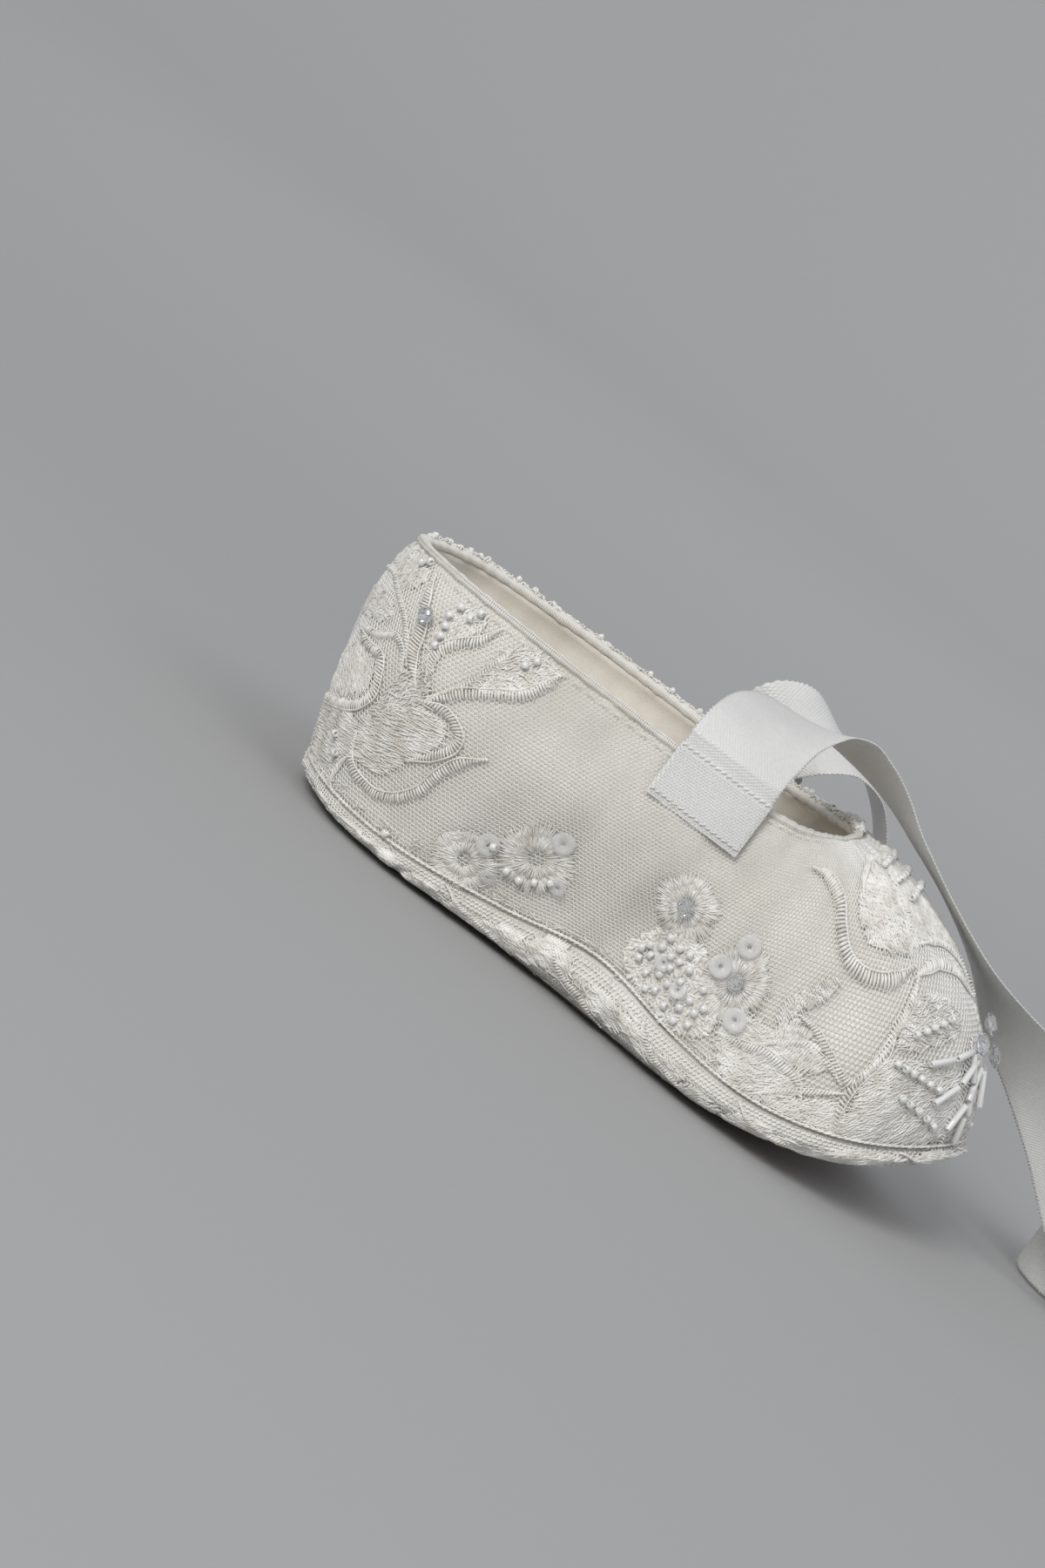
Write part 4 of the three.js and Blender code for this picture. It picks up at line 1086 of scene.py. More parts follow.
def make_heel_motif():
    """Large petals that wrap the heel, edged in raised cords, with beads at the collar."""
    s = sizes()
    for mirrored in (False, True):
        side = "left" if mirrored else "right"
        ground = upper_ground(mirrored)
        mesh = Quads()
        stitch_rows(mesh, ground, heel_stitches(s.cord_width), 1)
        embroidery(f"heel_motif_{side}", mesh, [] if mirrored else ["heel_applique"])
        beads = Quads()
        sew_beads(beads, ground, [(0.083, 0.85), (0.0845, 0.81), (0.0855, 0.77), (0.086, 0.73), (0.085, 0.90),
                                  (0.050, 0.955), (0.045, 0.93), (0.092, 0.89), (0.095, 0.93), (0.129, 0.88),
                                  (0.133, 0.92)], s.seed_bead, seed=21)
        sew_beads(beads, ground, [(0.112, 0.02), (0.056, 0.13), (0.050, 0.19)], s.seed_bead, seed=22)
        beads.piece(f"heel_beads_{side}", MATERIALS["bead"], "stone")
        sew_stone(f"heel_stone_{side}", f"crystal_heel_{side}", s.small_stone)


def sew_stone(name, node, diameter):
    """A cut stone in the place of its CAD node, facing out of the cloth."""
    low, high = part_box(node)
    centre = np.array((low + high) / 2) / MM
    u = np.linspace(0, 1, 2000)
    v = np.linspace(0.02, 0.97, 60)
    face = satin_face(u[:, None], v[None])
    nearest = np.unravel_index(np.argmin(np.linalg.norm(face - centre, axis=-1)), face.shape[:2])
    out = axes_at(u[nearest[0]], v[nearest[1]])[2]
    mesh = Quads()
    seat = face[nearest] + out * (SEWN_ON + 0.75 + diameter * 0.2)
    turned(mesh, seat, out, np.array(STONE) * diameter / 2, 8, closed=False)
    mesh.piece(name, MATERIALS["stone"], "stone", [node], smooth=False)


SPRIG_STITCHES = [
    (long_short_fill, [(0.334, 0.11), (0.336, 0.2), (0.354, 0.2), (0.37, 0.18), (0.385, 0.13),
     (0.39, 0.07), (0.378, 0.01), (0.355, 0.0), (0.34, 0.05)],
     dict(angle=0.5, crest=0.3, wander=0.5, spacing=0.32)),
    (satin_cord, [(0.334, 0.1), (0.351, 0.115), (0.362, 0.13), (0.376, 0.12), (0.387, 0.1),
     (0.393, 0.06)], dict(width=1.3, crest=0.55)),
    (long_short_fill, [(0.361, 0.24), (0.365, 0.32), (0.387, 0.41), (0.382, 0.34), (0.372, 0.29),
     (0.366, 0.22)], dict(angle=-0.6, length=1.5, crest=0.5)),
    (long_short_fill, [(0.363, 0.21), (0.371, 0.25), (0.384, 0.22), (0.397, 0.17), (0.387, 0.13),
     (0.372, 0.15)], dict(focus=(0.378, 0.02), length=1.6, crest=0.4)),
    (satin_cord, [(0.358, 0.14), (0.367, 0.17), (0.379, 0.2), (0.389, 0.19), (0.399, 0.17),
     (0.407, 0.14)], dict(width=1.0, crest=0.5)),
    (satin_cord, [(0.372, 0.27), (0.384, 0.25), (0.394, 0.21), (0.406, 0.16), (0.413, 0.16),
     (0.419, 0.22), (0.424, 0.29), (0.43, 0.36), (0.436, 0.44), (0.439, 0.5)],
     dict(width=1.0, crest=0.5)),
    (satin_cord, [(0.368, 0.01), (0.38, 0.05), (0.393, 0.085), (0.411, 0.12)],
     dict(width=0.8, crest=0.4)),
    (long_short_fill, [(0.38, 0.01), (0.393, 0.055), (0.409, 0.09), (0.418, 0.04), (0.418, 0.0),
     (0.395, 0.0)], dict(angle=0.3, crest=0.3, wander=0.3)),
    (satin_cord, [(0.272, 0.02), (0.277, 0.06), (0.284, 0.05), (0.289, 0.02)],
     dict(width=1.8, crest=0.5)),
    (long_short_fill, [(0.14, 0.1), (0.146, 0.2), (0.152, 0.12), (0.15, 0.02)],
     dict(angle=0.2, length=1.4, crest=0.4)),
]


PETAL_STITCHES = [
    (satin_cord, [(0.345, 0.79), (0.36, 0.75), (0.373, 0.67), (0.378, 0.57), (0.386, 0.49), (0.4, 0.45),
     (0.418, 0.46), (0.436, 0.52)], dict(width=2.0, crest=0.8, slant=0.05, pitch=0.58)),
    (long_short_fill, [(0.391, 0.66), (0.396, 0.74), (0.408, 0.8), (0.426, 0.85), (0.444, 0.8),
     (0.452, 0.7), (0.452, 0.62), (0.44, 0.57), (0.418, 0.54), (0.4, 0.57)],
     dict(angle=2.5, length=1.9, crest=0.4, wander=0.55)),
    (satin_cord, [(0.394, 0.7), (0.397, 0.77), (0.406, 0.83), (0.422, 0.88), (0.44, 0.86)],
     dict(width=1.3, crest=0.6)),
]


def make_side_motifs():
    """Small flowers, sequins, beads, leaves and the vamp's petal with its thick ladder cord."""
    s = sizes()
    for mirrored in (False, True):
        side = "left" if mirrored else "right"
        ground = upper_ground(mirrored)
        for name, centre, radius, petals, turn in (
                ("flower_heel_back", (0.156, 0.10), 5.0, 5, 0.3),
                ("flower_heel_front", (0.190, 0.26), 6.2, 6, 0.9),
                ("flower_side_back", (0.280, 0.42), 5.6, 5, 0.5),
                ("flower_side_front", (0.329, 0.27), 5.8, 6, 0.1)):
            mesh = Quads()
            stitched_flower(mesh, ground, centre, radius, petals, turn, seed=len(name))
            embroidery(f"{name}_stitches_{side}", mesh, [f"{name}_{side}"])
        sprig = Quads()
        stitch_rows(sprig, ground, SPRIG_STITCHES, 31)
        embroidery(f"leaf_sprig_stitches_{side}", sprig, [f"leaf_sprig_{side}"])
        petal = Quads()
        stitch_rows(petal, ground, PETAL_STITCHES, 41)
        embroidery(f"vamp_petal_stitches_{side}", petal, [f"vamp_petal_{side}"])
        make_side_beads(ground, side)
        sew_stone(f"side_back_stone_{side}", f"crystal_side_back_{side}", s.small_stone)
        sew_stone(f"side_front_stone_{side}", f"crystal_side_front_{side}", s.small_stone)


def make_side_beads(ground, side):
    s = sizes()
    draw = np.random.default_rng(51)
    cluster = Quads()
    patch = flat_points([(0.268, 0.10), (0.276, 0.24), (0.292, 0.30), (0.312, 0.22), (0.322, 0.08),
                         (0.300, 0.02)])
    outline = along_curve(patch, 1.0, closed=True)
    spots = np.stack([draw.uniform(patch[:, 0].min(), patch[:, 0].max(), 150),
                      draw.uniform(patch[:, 1].min(), patch[:, 1].max(), 150)], -1)
    spots = spots[inside(spots, outline)]
    kept = []
    for spot in spots:
        if all(np.linalg.norm(spot - other) > 1.5 for other in kept):
            kept.append(spot)
    sew_beads(cluster, ground, np.array(kept), s.seed_bead, seed=52, flat=True)
    sew_beads(cluster, ground, [(0.196, 0.17), (0.204, 0.20), (0.188, 0.15), (0.179, 0.16), (0.166, 0.22)],
              s.seed_bead, seed=53)
    cluster.piece(f"side_beads_{side}", MATERIALS["bead"], "stone", [f"bead_cluster_{side}"])
    stitches = Quads()
    bed = [(0.262, 0.08), (0.272, 0.26), (0.294, 0.33), (0.318, 0.24), (0.330, 0.08), (0.300, 0.0)]
    long_short_fill(stitches, ground, bed, angle=0.5, length=1.6, spacing=0.5, crest=0.3, wander=1.2,
                    seed=54)
    embroidery(f"bead_cluster_stitches_{side}", stitches)
    cups = Quads()
    large = [(0.326, 0.41), (0.199, 0.38), (0.163, 0.22), (0.316, 0.30), (0.340, 0.17)]
    sew_sequins(cups, ground, large, 3.4, 55)
    sew_sequins(cups, ground, [(0.302, 0.14), (0.286, 0.18), (0.172, 0.10), (0.209, 0.20)], 2.6, 56)
    cups.piece(f"side_sequins_{side}", MATERIALS["sequin"], "stone")


def toe_stitches(wide):
    """The toe's rows of stitches; wide is a cord's full width."""
    return [
        (satin_cord, [(0.438, 0.5), (0.434, 0.41), (0.425, 0.33), (0.423, 0.25), (0.414, 0.16),
         (0.412, 0.08), (0.416, 0.0)], dict(width=wide * 0.8, crest=0.55)),
        (long_short_fill, [(0.437, 0.43), (0.462, 0.45), (0.47, 0.37), (0.452, 0.31), (0.43, 0.28),
         (0.43, 0.35)], dict(angle=0.2, crest=0.45, wander=0.4)),
        (long_short_fill, [(0.42, 0.22), (0.45, 0.26), (0.474, 0.2), (0.472, 0.04), (0.446, 0.01),
         (0.42, 0.02)], dict(focus=(0.496, 0.34), crest=0.4, wander=0.3)),
        (satin_cord, [(0.48, 0.34), (0.476, 0.26), (0.475, 0.18), (0.471, 0.1), (0.474, 0.01)],
         dict(width=wide * 0.8, crest=0.55)),
        (satin_cord, [(0.496, 0.46), (0.48, 0.53), (0.462, 0.55), (0.446, 0.52), (0.436, 0.49)],
         dict(width=wide, crest=0.65)),
        (satin_cord, [(0.5, 0.5), (0.488, 0.58), (0.47, 0.62), (0.45, 0.6)],
         dict(width=wide * 0.8, crest=0.55)),
        (long_short_fill, [(0.5, 0.52), (0.484, 0.62), (0.46, 0.64), (0.448, 0.72), (0.462, 0.84),
         (0.5, 0.86)], dict(focus=(0.5, 0.4), crest=0.35, wander=0.3)),
        (satin_cord, [(0.501, 0.9), (0.48, 0.9), (0.462, 0.88), (0.45, 0.8), (0.445, 0.7)],
         dict(width=wide, crest=0.6)),
        (long_short_fill, [(0.5, 0.12), (0.486, 0.16), (0.482, 0.24), (0.49, 0.29), (0.5, 0.3)],
         dict(angle=1.6, crest=0.3, wander=0.2)),
        (satin_cord, [(0.5, 0.06), (0.486, 0.09), (0.48, 0.18), (0.484, 0.27), (0.5, 0.31)],
         dict(width=wide * 0.8, crest=0.5)),
    ]


def make_toe_motif():
    """The toe's flower: scalloped petals with beads, tube beads and three proud stones."""
    s = sizes()
    for mirrored in (False, True):
        side = "left" if mirrored else "right"
        ground = upper_ground(mirrored)
        mesh = Quads()
        stitch_rows(mesh, ground, toe_stitches(s.cord_width), 61)
        embroidery(f"toe_motif_{side}", mesh, [] if mirrored else ["toe_applique"])
        beads = Quads()
        for k, row in enumerate(([(0.452, 0.86), (0.470, 0.875), (0.499, 0.88)],
                                 [(0.454, 0.80), (0.475, 0.82), (0.499, 0.83)],
                                 [(0.458, 0.74), (0.478, 0.77), (0.499, 0.78)],
                                 [(0.430, 0.24), (0.444, 0.22), (0.458, 0.19)],
                                 [(0.440, 0.15), (0.452, 0.12), (0.462, 0.08)],
                                 [(0.438, 0.33), (0.450, 0.36), (0.462, 0.39)])):
            bead_row(beads, ground, row, s.seed_bead, 80 + k)
        beads.piece(f"toe_beads_{side}", MATERIALS["bead"], "stone")
        tubes = Quads()
        rays = np.array([-2.9, -2.5, -2.1, -1.7])
        centre = flat_points([(0.492, 0.33)])[0]
        way = np.stack([np.cos(rays), np.sin(rays)], -1)
        sew_bugles(tubes, ground, centre + way * 3.2, centre + way * 7.4)
        sew_bugles(tubes, ground, centre + way[:3] * 8.0, centre + way[:3] * 11.4)
        edge = flat_points([(0.478, 0.30), (0.479, 0.20), (0.478, 0.11)])
        sew_bugles(tubes, ground, edge, edge + [0.4, -3.2])
        tubes.piece(f"toe_tube_beads_{side}", MATERIALS["bead"], "stone")
    for name, node in (("toe_stone_top", "crystal_toe_top"), ("toe_stone_right", "crystal_toe_right"),
                       ("toe_stone_low", "crystal_toe_low")):
        sew_stone(name, node, s.large_stone)


def collar_ground(flat, lift):
    """The outside of the left collar's rim: flat millimetres along it and round its section."""
    u = 1 - flat[..., 0] / ROUND
    turn = flat[..., 1]
    _, up, out = axes_at(u, np.full(u.shape, COLLAR_V))
    base = satin_face(u, np.full(u.shape, COLLAR_V))
    reach = BINDING_MIDDLE + (BINDING_REACH + lift) * np.cos(turn)
    rise = (BINDING_RISE + lift) * np.sin(turn)
    return base + out * reach[..., None] + unit(up) * rise[..., None]


def make_collar_lace():
    """The fuzzy lace edge along the left collar, with small beads in it."""
    draw = np.random.default_rng(91)
    count = 1500
    mesh = Quads()
    along = draw.uniform(3, 125, count)
    turn = draw.uniform(-0.7, 1.35, count)
    starts = np.stack([along, turn], -1)
    heading = draw.uniform(0, 2 * math.pi, count)
    ends = starts + np.stack([np.cos(heading) * 1.1, np.sin(heading) * 0.5], -1)
    sew(mesh, collar_ground, starts, ends, draw.uniform(0.1, 0.5, count), thickness=0.13, base=0.1)
    ground = upper_ground(True)
    outline = [(0.015, 0.91), (0.12, 0.90), (0.22, 0.92), (0.22, 0.975), (0.12, 0.975), (0.015, 0.975)]
    long_short_fill(mesh, ground, outline, angle=0.6, length=1.3, spacing=0.4, crest=0.5, wander=1.2, seed=91)
    embroidery("collar_lace_left", mesh)
    beads = Quads()
    spots = np.stack([draw.uniform(4, 124, 60), draw.uniform(-0.3, 1.2, 60)], -1)
    centres = collar_ground(spots, np.full(len(spots), 0.45))
    small = bead_profile(sizes().seed_bead * 0.85)
    turned(beads, centres, draw.normal(0, 1, centres.shape), small, BEAD_SIDES)
    beads.piece("collar_beads_left", MATERIALS["bead"], "stone")


# ---- ribbons ----
RIBBON_X = -3.5
# The sewn end's place round the foot, its heights above the ground and its gap over the net.
SEWN_U = 0.2452
SEWN_FOOT = 32.0
SEWN_MIDDLE = 37.0
SEWN_TOP = 40.6
SEWN_GAP = 0.35
# Each ribbon's middle line with its width's direction, from the collar to the cut end.
RIGHT_ROUTE = [
    (-3.5, -21.4, 41.9, 1, 0, 0), (-3.5, -21.0, 43.2, 1, 0, 0), (-3.3, -18.4, 46.2, 0.98, -0.1, -0.05),
    (-2.4, -12.6, 49.3, 0.93, -0.3, 0.05), (0.4, -4.8, 51.2, 0.82, -0.54, 0.15),
    (6, 1, 51.4, 0.45, -0.82, 0.3), (11.4, 4, 50.2, 0.18, -0.92, 0.34), (17, 6, 48.1, 0.06, -0.94, 0.32),
    (23.4, 7.2, 44.9, 0.05, -0.97, 0.22), (31.8, 8.3, 40.8, 0.03, -0.99, 0.14),
    (40.2, 8.6, 36.5, 0, -0.96, 0.26), (49.5, 9, 31.6, 0, -0.78, 0.62), (58.5, 9.6, 27.8, 0, -0.6, 0.8),
    (67.5, 10.6, 22.6, 0.04, -0.42, 0.9), (77.5, 12.5, 14.8, 0.06, -0.2, 0.97),
    (86, 15, 9.6, 0, -0.05, 1), (92, 20, 8, 0, 0, 1),
]
CURL_RADIUS = 12.5
CURL_TIGHTENS = 3.6
CURL_STEPS = 18
LEFT_ROUTE = [
    (-3.5, 21.4, 41.9, -1, 0, 0), (-3.4, 21.9, 43.4, -1, 0.06, 0.12), (-1.9, 22, 45.6, -0.94, 0.1, 0.33),
    (2, 23.6, 47.6, -0.84, 0.35, 0.42), (7, 26.6, 47.7, -0.7, 0.68, 0.25),
    (13, 30.6, 44.9, -0.45, 0.89, 0.05), (18.5, 34.4, 38.5, -0.25, 0.97, 0), (22.5, 37.2, 29, -0.1, 1, 0),
    (25, 38.8, 18, 0, 1, 0), (26.2, 39.4, 8, 0, 1, 0), (23.8, 39.8, 2.4, 0, 1, 0),
    (18, 40.2, 0.8, 0, 1, 0), (8, 40.6, 0.8, 0, 1, 0), (-2, 41, 3, 0, 1, 0), (-13, 41, 0.9, 0, 1, 0),
    (-25, 40.6, 3.6, 0, 1, 0), (-36, 39.8, 0.9, 0, 1, 0), (-46, 39.2, 0.9, 0, 1, 0),
    (-53.5, 38.9, 3.4, 0, 1, 0), (-56.4, 38.8, 7.6, 0, 1, 0), (-53.5, 38.9, 11.6, 0, 1, 0),
    (-46, 39.2, 12.4, 0, 1, 0), (-36, 39.8, 10.4, 0, 1, 0), (-25, 40.4, 8.4, 0, 1, 0),
    (-13, 40.8, 7.4, 0, 1, 0), (-2, 41, 8.2, 0, 1, 0), (8, 41, 7, 0, 1, 0),
]


def right_route():
    """The right ribbon's line, with the open curl that its end falls into."""
    start = -math.pi / 4
    x, y, height = RIGHT_ROUTE[-1][:3]
    centre = np.array([x - CURL_RADIUS * math.cos(start), y - CURL_RADIUS * math.sin(start)])
    points = [list(point) for point in RIGHT_ROUTE]
    for k in range(CURL_STEPS):
        turn = (k + 2) / 20
        radius = CURL_RADIUS - CURL_TIGHTENS * turn
        angle = start + 2 * math.pi * turn
        place = centre + [radius * math.cos(angle), radius * math.sin(angle)]
        points.append([*place, height, 0, 0, 1])
    return points


def sewn_line(side):
    """The ribbon's sewn end, lying up the outside of the wall."""
    face = satin_face(SEWN_U, np.array([0.80, 0.90, COLLAR_V]))
    across = (1 if side < 0 else -1, 0, 0)
    reach = abs(face[:, 1]) + NET_CREST + SEWN_GAP + np.array([0, 0, SEWN_GAP])
    return [(RIBBON_X, side * out, height, *across)
            for out, height in zip(reach, (SEWN_FOOT, SEWN_MIDDLE, SEWN_TOP))]


RIBBON_HALF = 0.13
RIBBON_STEP = 0.16
# The woven edge: its loops, the share of the half width it starts at, and how much thinner it is.
PICOT_PITCH = 0.62
PICOT_REACH = 0.12
SELVEDGE_FROM = 0.94
SELVEDGE_THINNER = 0.35
# Where the tie hangs free, and the height and length of its slow bow and of its edge's ripples.
FREE_FROM = 14
FREE_OVER = 10
BOW_HEIGHT, BOW_LENGTH = 0.55, 31
RIPPLE_HEIGHT, RIPPLE_LENGTH = 0.22, 5.3


def make_ribbon(name, route, side, nodes, wave):
    """One tie in one length, from its sewn end to its cut end, blended at the collar."""
    s = sizes()
    line = along_curve(np.array(sewn_line(side) + list(route), float), RIBBON_STEP)
    line = line[: int(s.ribbon_length / RIBBON_STEP)]
    path = line[:, :3]
    run = unit(np.gradient(path, axis=0))
    across = unit(line[:, 3:6] - run * (line[:, 3:6] * run).sum(1, keepdims=True))
    normal = np.cross(across, run)
    columns = 36
    share = np.linspace(-1, 1, columns)
    travelled = np.arange(len(path)) * RIBBON_STEP
    free = np.clip((travelled - FREE_FROM) / FREE_OVER, 0, 1)
    curl = BOW_HEIGHT * free * np.sin(travelled / BOW_LENGTH + wave)
    ripple = RIPPLE_HEIGHT * free * np.sin(travelled / RIPPLE_LENGTH + wave * 2)
    bow = curl[:, None] * (share[None] ** 2 - 0.35) + ripple[:, None] * share[None] ** 3
    picot = PICOT_REACH * np.sin(2 * math.pi * travelled / PICOT_PITCH)
    edge = np.clip((np.abs(share) - 0.9) * 10, 0, 1)
    reach = s.ribbon_width / 2 * share[None] + picot[:, None] * edge[None] * np.sign(share)[None]
    thick = RIBBON_HALF * (1 - SELVEDGE_THINNER * (np.abs(share) > SELVEDGE_FROM))
    faces = []
    for sign, order in ((1, slice(None)), (-1, slice(None, None, -1))):
        offset = (bow + sign * thick[None])[:, order]
        faces.append(path[:, None] + across[:, None] * reach[:, order][..., None]
                     + normal[:, None] * offset[..., None])
    points = np.concatenate(faces, 1)
    middle = (points + points[:, ::-1]) / 2
    points = np.concatenate([middle[:1], points, middle[-1:]])
    along = np.concatenate([travelled[:1], travelled, travelled[-1:]])
    cut = np.concatenate([share, share[::-1]]) * s.ribbon_width / 2
    place = np.stack(np.broadcast_arrays(along[:, None], cut[None]), -1)
    mesh = Quads()
    mesh.grid(points, wrap_columns=True, place=place)
    ribbon = mesh.piece(name, MATERIALS["ribbon"], "ribbon", nodes, body=None)
    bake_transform(ribbon)


# The turned end: its height, its slanting ribs, its weave, its body and its cloth at the edges.
FOLD_HEIGHT = 8.8
FOLD_OVERHANG = 0.2
FOLD_RIBS = 0.62
FOLD_RIB_HEIGHT = 0.125
FOLD_RIB_SLANT = 0.55
FOLD_WEAVE_HEIGHT, FOLD_WEAVE = 0.03, 0.4
FOLD_BODY = 0.2
FOLD_SWELL = 0.1
FOLD_CLOTH = 0.12
FOLD_LEAN = 0.12
TACKS = 16
TACK_LENGTH = 0.7
TACK_RADIUS = 0.09


def make_sewn_fold(name, side):
    """The turned-back end that holds the tie: a ribbed band with its row of hand stitches."""
    s = sizes()
    half = s.ribbon_width / 2 + FOLD_OVERHANG
    rows, columns = 90, 150
    t = np.linspace(0, 1, rows)
    share = np.linspace(-1, 1, columns)
    line = along_curve(np.array(sewn_line(side), float), 0.1)
    spots = np.stack([np.interp(t, np.linspace(0, 1, len(line)), line[:, k]) for k in range(3)], -1)
    tt, ss = np.meshgrid(t * FOLD_HEIGHT, share * half, indexing="ij")
    ribs = FOLD_RIB_HEIGHT * np.sin(2 * math.pi * (ss + FOLD_RIB_SLANT * tt) / FOLD_RIBS)
    ribs = ribs + FOLD_WEAVE_HEIGHT * np.sin(2 * math.pi * tt / FOLD_WEAVE)
    swell = FOLD_BODY + ribs + FOLD_SWELL * np.sin(math.pi * t)[:, None]
    pinch = np.clip(np.minimum(t, 1 - t) * 9, 0, 1)[:, None] * np.clip((1 - np.abs(share)) * 14, 0.1, 1)[None]
    face = spots[:, None] + np.stack([ss, np.zeros_like(ss), np.zeros_like(ss)], -1)
    out = np.array([0.0, side, FOLD_LEAN])
    front = face + out * (swell * pinch + FOLD_CLOTH)[..., None]
    back = (face + out * 0.02)[:, ::-1]
    mesh = Quads()
    place = np.stack([ss, tt], -1)
    mesh.grid(np.concatenate([front, back], 1), wrap_columns=True,
              place=np.concatenate([place, place[:, ::-1]], 1))
    mesh.piece(f"{name}_turned_end", MATERIALS["ribbon"], "ribbon")
    stitches = Quads()
    x = np.linspace(-half * 0.92, half * 0.92, TACKS)
    for height, slope in ((40.4, 0.5), (33.0, 0.35)):
        base = spots[np.argmin(np.abs(spots[:, 2] - height))]
        arc = np.linspace(0, 1, 6)
        for place_x in x:
            points = np.stack([RIBBON_X + place_x + (arc - 0.5) * TACK_LENGTH, np.full(6, base[1]),
                               height + (arc - 0.5) * slope], -1)
            points[:, 1] += side * (0.42 + 0.12 * np.sin(math.pi * arc))
            normals = np.broadcast_to([0.0, side, 0.0], points.shape)
            tube(stitches, points, normals, TACK_RADIUS, sides=5)
    stitches.piece(f"{name}_tack_stitches", MATERIALS["thread"], "ribbon",
                   [name.replace("satin_", "") + "_tack_thread"])


def make_ribbons():
    make_ribbon("satin_ribbon_right", right_route(), -1, ["ribbon_right", "ribbon_right_sewn_end"],
                0.4)
    make_ribbon("satin_ribbon_left", LEFT_ROUTE, 1, ["ribbon_left", "ribbon_left_sewn_end"],
                2.1)
    for name, side in (("satin_ribbon_right", -1), ("satin_ribbon_left", 1)):
        make_sewn_fold(name, side)


# ---- stage ----
CAMERA_AZIMUTH = math.radians(5)
CAMERA_ELEVATION = math.radians(9.5)
CAMERA_ROLL = math.radians(36)
CAMERA_DISTANCE = 0.536
CAMERA_TARGET = Vector((-0.0275, 0, 0.0186))


def make_camera():
    back = Vector((math.sin(CAMERA_AZIMUTH) * math.cos(CAMERA_ELEVATION),
                   -math.cos(CAMERA_AZIMUTH) * math.cos(CAMERA_ELEVATION), math.sin(CAMERA_ELEVATION)))
    level = Vector((math.cos(CAMERA_AZIMUTH), math.sin(CAMERA_AZIMUTH), 0))
    upright = back.cross(level)
    right = math.cos(CAMERA_ROLL) * level + math.sin(CAMERA_ROLL) * upright
    up = -math.sin(CAMERA_ROLL) * level + math.cos(CAMERA_ROLL) * upright
    data = bpy.data.cameras.new("camera")
    data.lens = 85
    data.clip_start = 0.01
    camera = bpy.data.objects.new("camera", data)
    place = Matrix((right, up, back)).transposed().to_4x4()
    place.translation = CAMERA_TARGET + back * CAMERA_DISTANCE
    camera.matrix_world = place
    bpy.context.scene.collection.objects.link(camera)
    bpy.context.scene.camera = camera


def make_light(name, place, size, watts, warmth, aim=(0, 0, 0)):
    data = bpy.data.lights.new(name, "AREA")
    data.shape = "DISK"
    data.size = size
    data.energy = watts
    data.color = warmth
    light = bpy.data.objects.new(name, data)
    light.location = place
    light.rotation_euler = (Vector(aim) - Vector(place)).to_track_quat("-Z", "Y").to_euler()
    bpy.context.scene.collection.objects.link(light)


# The paper sweep, in metres: how it bends up from the floor, how far it leans and where it ends.
SWEEP_BEND = 1.2
SWEEP_LEAN = math.radians(48)
SWEEP_TOP = (3.2, 1.63)
SWEEP_SIDES = 96


def make_stage():
    """A round sweep of grey paper with an open top, a soft key light and a weak fill."""
    profile = [(0.0, 0.0), (0.5, 0.0), (1.0, 0.0)]
    for k in range(12):
        turn = k / 11 * SWEEP_LEAN
        profile.append((SWEEP_BEND * (1 + math.sin(turn)), SWEEP_BEND * (1 - math.cos(turn))))
    profile.append(SWEEP_TOP)
    rows = np.array(profile) / MM
    angle = np.arange(SWEEP_SIDES)[:, None] / SWEEP_SIDES * 2 * math.pi
    reach, height = rows[None, :, 0], rows[None, :, 1]
    points = np.stack(np.broadcast_arrays(reach * np.cos(angle), reach * np.sin(angle), height), -1)
    mesh = Quads()
    mesh.grid(points, wrap_rows=True)
    # Matt backdrop paper, coated: even and without gloss.
    paper, _, _ = surface("backdrop_paper_coated", {
        "Base Color": linear(colours().backdrop), "Roughness": 0.95, "Specular IOR Level": 0.15,
    })
    mesh.made("paper_sweep", paper)
    make_light("key", (-0.75, -1.6, 1.25), 1.0, 22.4, (1.0, 0.985, 0.955))
    make_light("fill", (0.9, -1.0, 1.6), 1.2, 4.2, (0.98, 0.99, 1.0))
    make_light("backdrop_light", (0.2, 0.35, 1.5), 1.0, 12.0, (1.0, 1.0, 1.0), aim=(0.2, 2.4, 1.2))
    world = bpy.data.worlds.new("grey_room")
    world.use_nodes = True
    sky = world.node_tree.nodes["Background"]
    sky.inputs["Color"].default_value = (0.93, 0.95, 1.0, 1)
    sky.inputs["Strength"].default_value = 0.56
    bpy.context.scene.world = world
    bpy.context.scene.view_settings.view_transform = "Standard"


# ---- the add-on ----
class SLIPPER_OT_materials(bpy.types.Operator):
    """Mix every cloth, thread, glass and leather of the slipper"""
    bl_idname = "slipper.materials"
    bl_label = "Materials"

    def execute(self, context):
        make_materials()
        return {"FINISHED"}


class SLIPPER_OT_upper(bpy.types.Operator):
    """Sew the satin upper and its lining"""
    bl_idname = "slipper.upper"
    bl_label = "Satin upper and lining"

    def execute(self, context):
        make_upper()
        return {"FINISHED"}


class SLIPPER_OT_net(bpy.types.Operator):
    """Lay the tulle over the satin"""
    bl_idname = "slipper.net"
    bl_label = "Tulle overlay"

    def execute(self, context):
        make_net()
        return {"FINISHED"}


class SLIPPER_OT_binding(bpy.types.Operator):
    """Fold the satin edging over the collar and stitch it"""
    bl_idname = "slipper.binding"
    bl_label = "Collar edging"

    def execute(self, context):
        make_binding()
        return {"FINISHED"}


class SLIPPER_OT_sole(bpy.types.Operator):
    """Build the wrapped sole, its lace, its suede patch and the sock lining"""
    bl_idname = "slipper.sole"
    bl_label = "Sole and sock lining"

    def execute(self, context):
        make_sole()
        return {"FINISHED"}


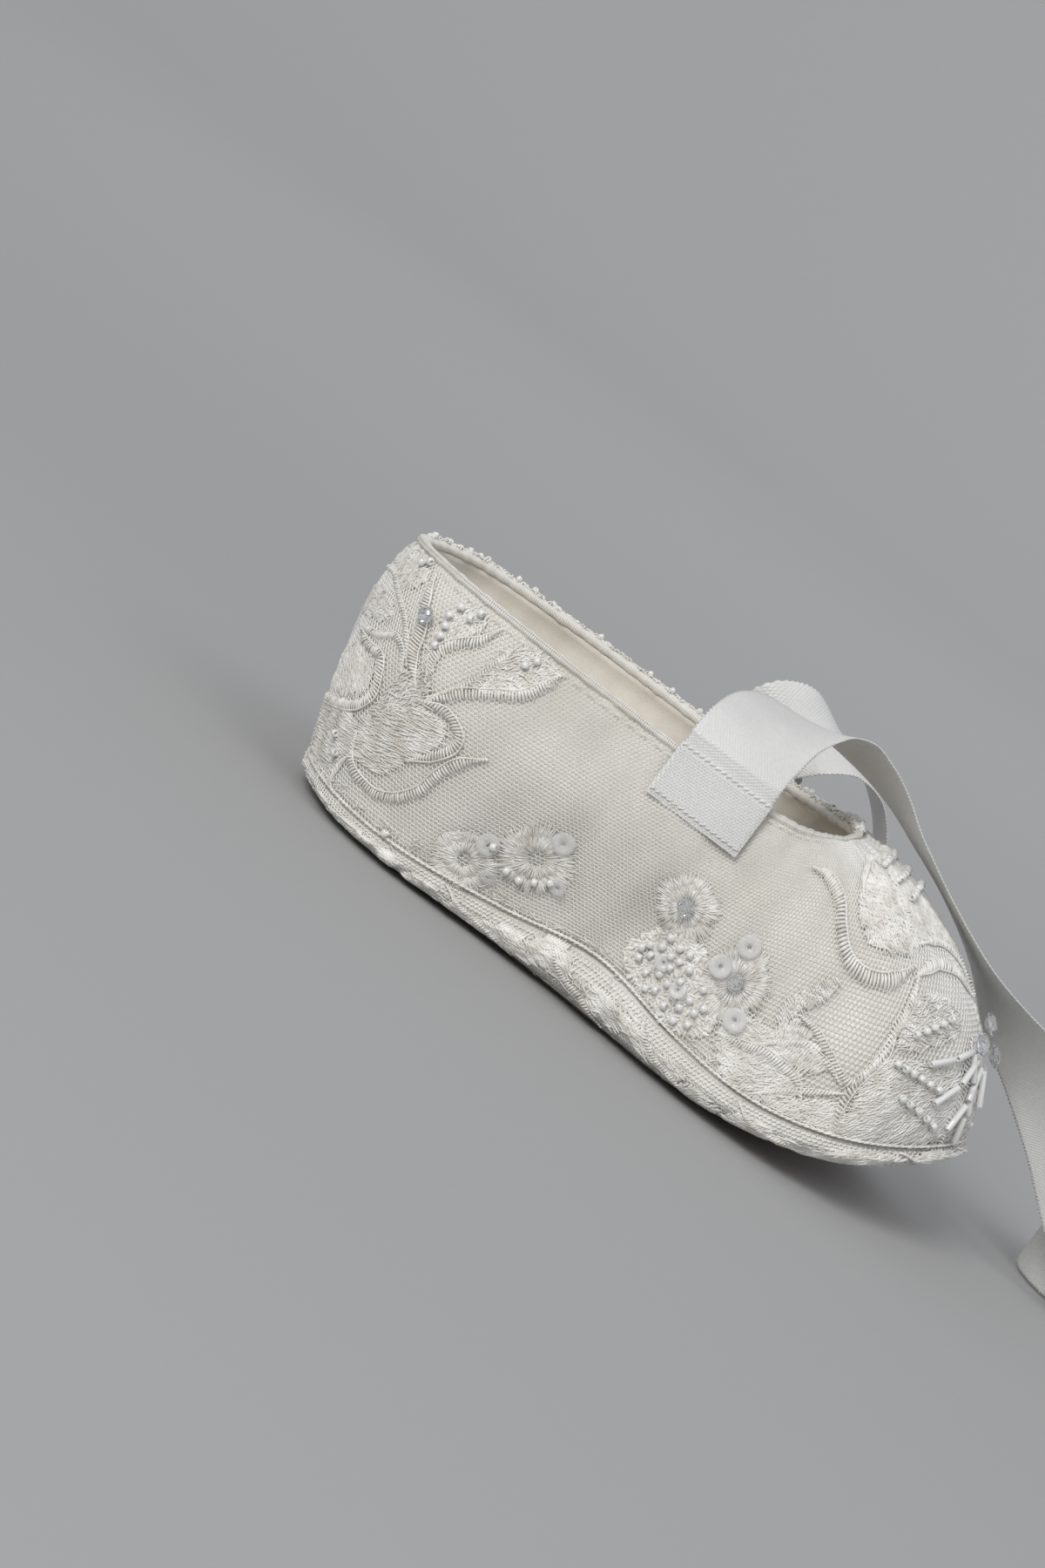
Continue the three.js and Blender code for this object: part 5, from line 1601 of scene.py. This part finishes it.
class SLIPPER_OT_heel_motif(bpy.types.Operator):
    """Embroider the heel's petals, with their cords, beads and stones"""
    bl_idname = "slipper.heel_motif"
    bl_label = "Heel embroidery"

    def execute(self, context):
        make_heel_motif()
        return {"FINISHED"}


class SLIPPER_OT_side_motifs(bpy.types.Operator):
    """Embroider the flowers, sprigs and vamp petals on both sides"""
    bl_idname = "slipper.side_motifs"
    bl_label = "Side embroidery"

    def execute(self, context):
        make_side_motifs()
        return {"FINISHED"}


class SLIPPER_OT_toe_motif(bpy.types.Operator):
    """Embroider the toe's scallops, with their beads and large stones"""
    bl_idname = "slipper.toe_motif"
    bl_label = "Toe embroidery"

    def execute(self, context):
        make_toe_motif()
        make_collar_lace()
        return {"FINISHED"}


class SLIPPER_OT_ribbons(bpy.types.Operator):
    """Cut, fold and stitch the two satin ties"""
    bl_idname = "slipper.ribbons"
    bl_label = "Satin ties"

    def execute(self, context):
        make_ribbons()
        return {"FINISHED"}


class SLIPPER_OT_stage(bpy.types.Operator):
    """Set up the paper sweep, the soft lights and the camera"""
    bl_idname = "slipper.stage"
    bl_label = "Stage"

    def execute(self, context):
        make_stage()
        make_camera()
        return {"FINISHED"}


OPERATORS = [
    SLIPPER_OT_materials, SLIPPER_OT_upper, SLIPPER_OT_net, SLIPPER_OT_binding, SLIPPER_OT_sole,
    SLIPPER_OT_heel_motif, SLIPPER_OT_side_motifs, SLIPPER_OT_toe_motif, SLIPPER_OT_ribbons, SLIPPER_OT_stage,
]


class SLIPPER_PT_panel(bpy.types.Panel):
    """Lists the slipper's sizes, colours and steps"""
    bl_idname = "SLIPPER_PT_panel"
    bl_label = "Ribbon-tie slipper"
    bl_space_type = "VIEW_3D"
    bl_region_type = "UI"
    bl_category = "Slipper"

    def draw(self, context):
        for group in (context.scene.slipper_sizes, context.scene.slipper_colours):
            box = self.layout.box()
            for name in group.__annotations__:
                box.prop(group, name)
        for step in OPERATORS:
            self.layout.operator(step.bl_idname)


CLASSES = [SlipperSizes, SlipperColours, *OPERATORS, SLIPPER_PT_panel]


def register():
    for cls in CLASSES:
        bpy.utils.register_class(cls)
    bpy.types.Scene.slipper_sizes = bpy.props.PointerProperty(type=SlipperSizes)
    bpy.types.Scene.slipper_colours = bpy.props.PointerProperty(type=SlipperColours)


def unregister():
    del bpy.types.Scene.slipper_sizes
    del bpy.types.Scene.slipper_colours
    for cls in reversed(CLASSES):
        bpy.utils.unregister_class(cls)


def main():
    register()
    bpy.ops.slipper.materials()
    bpy.ops.slipper.upper()
    bpy.ops.slipper.net()
    bpy.ops.slipper.binding()
    bpy.ops.slipper.sole()
    bpy.ops.slipper.heel_motif()
    bpy.ops.slipper.side_motifs()
    bpy.ops.slipper.toe_motif()
    bpy.ops.slipper.ribbons()
    bpy.ops.slipper.stage()


if __name__ == "__main__":
    main()
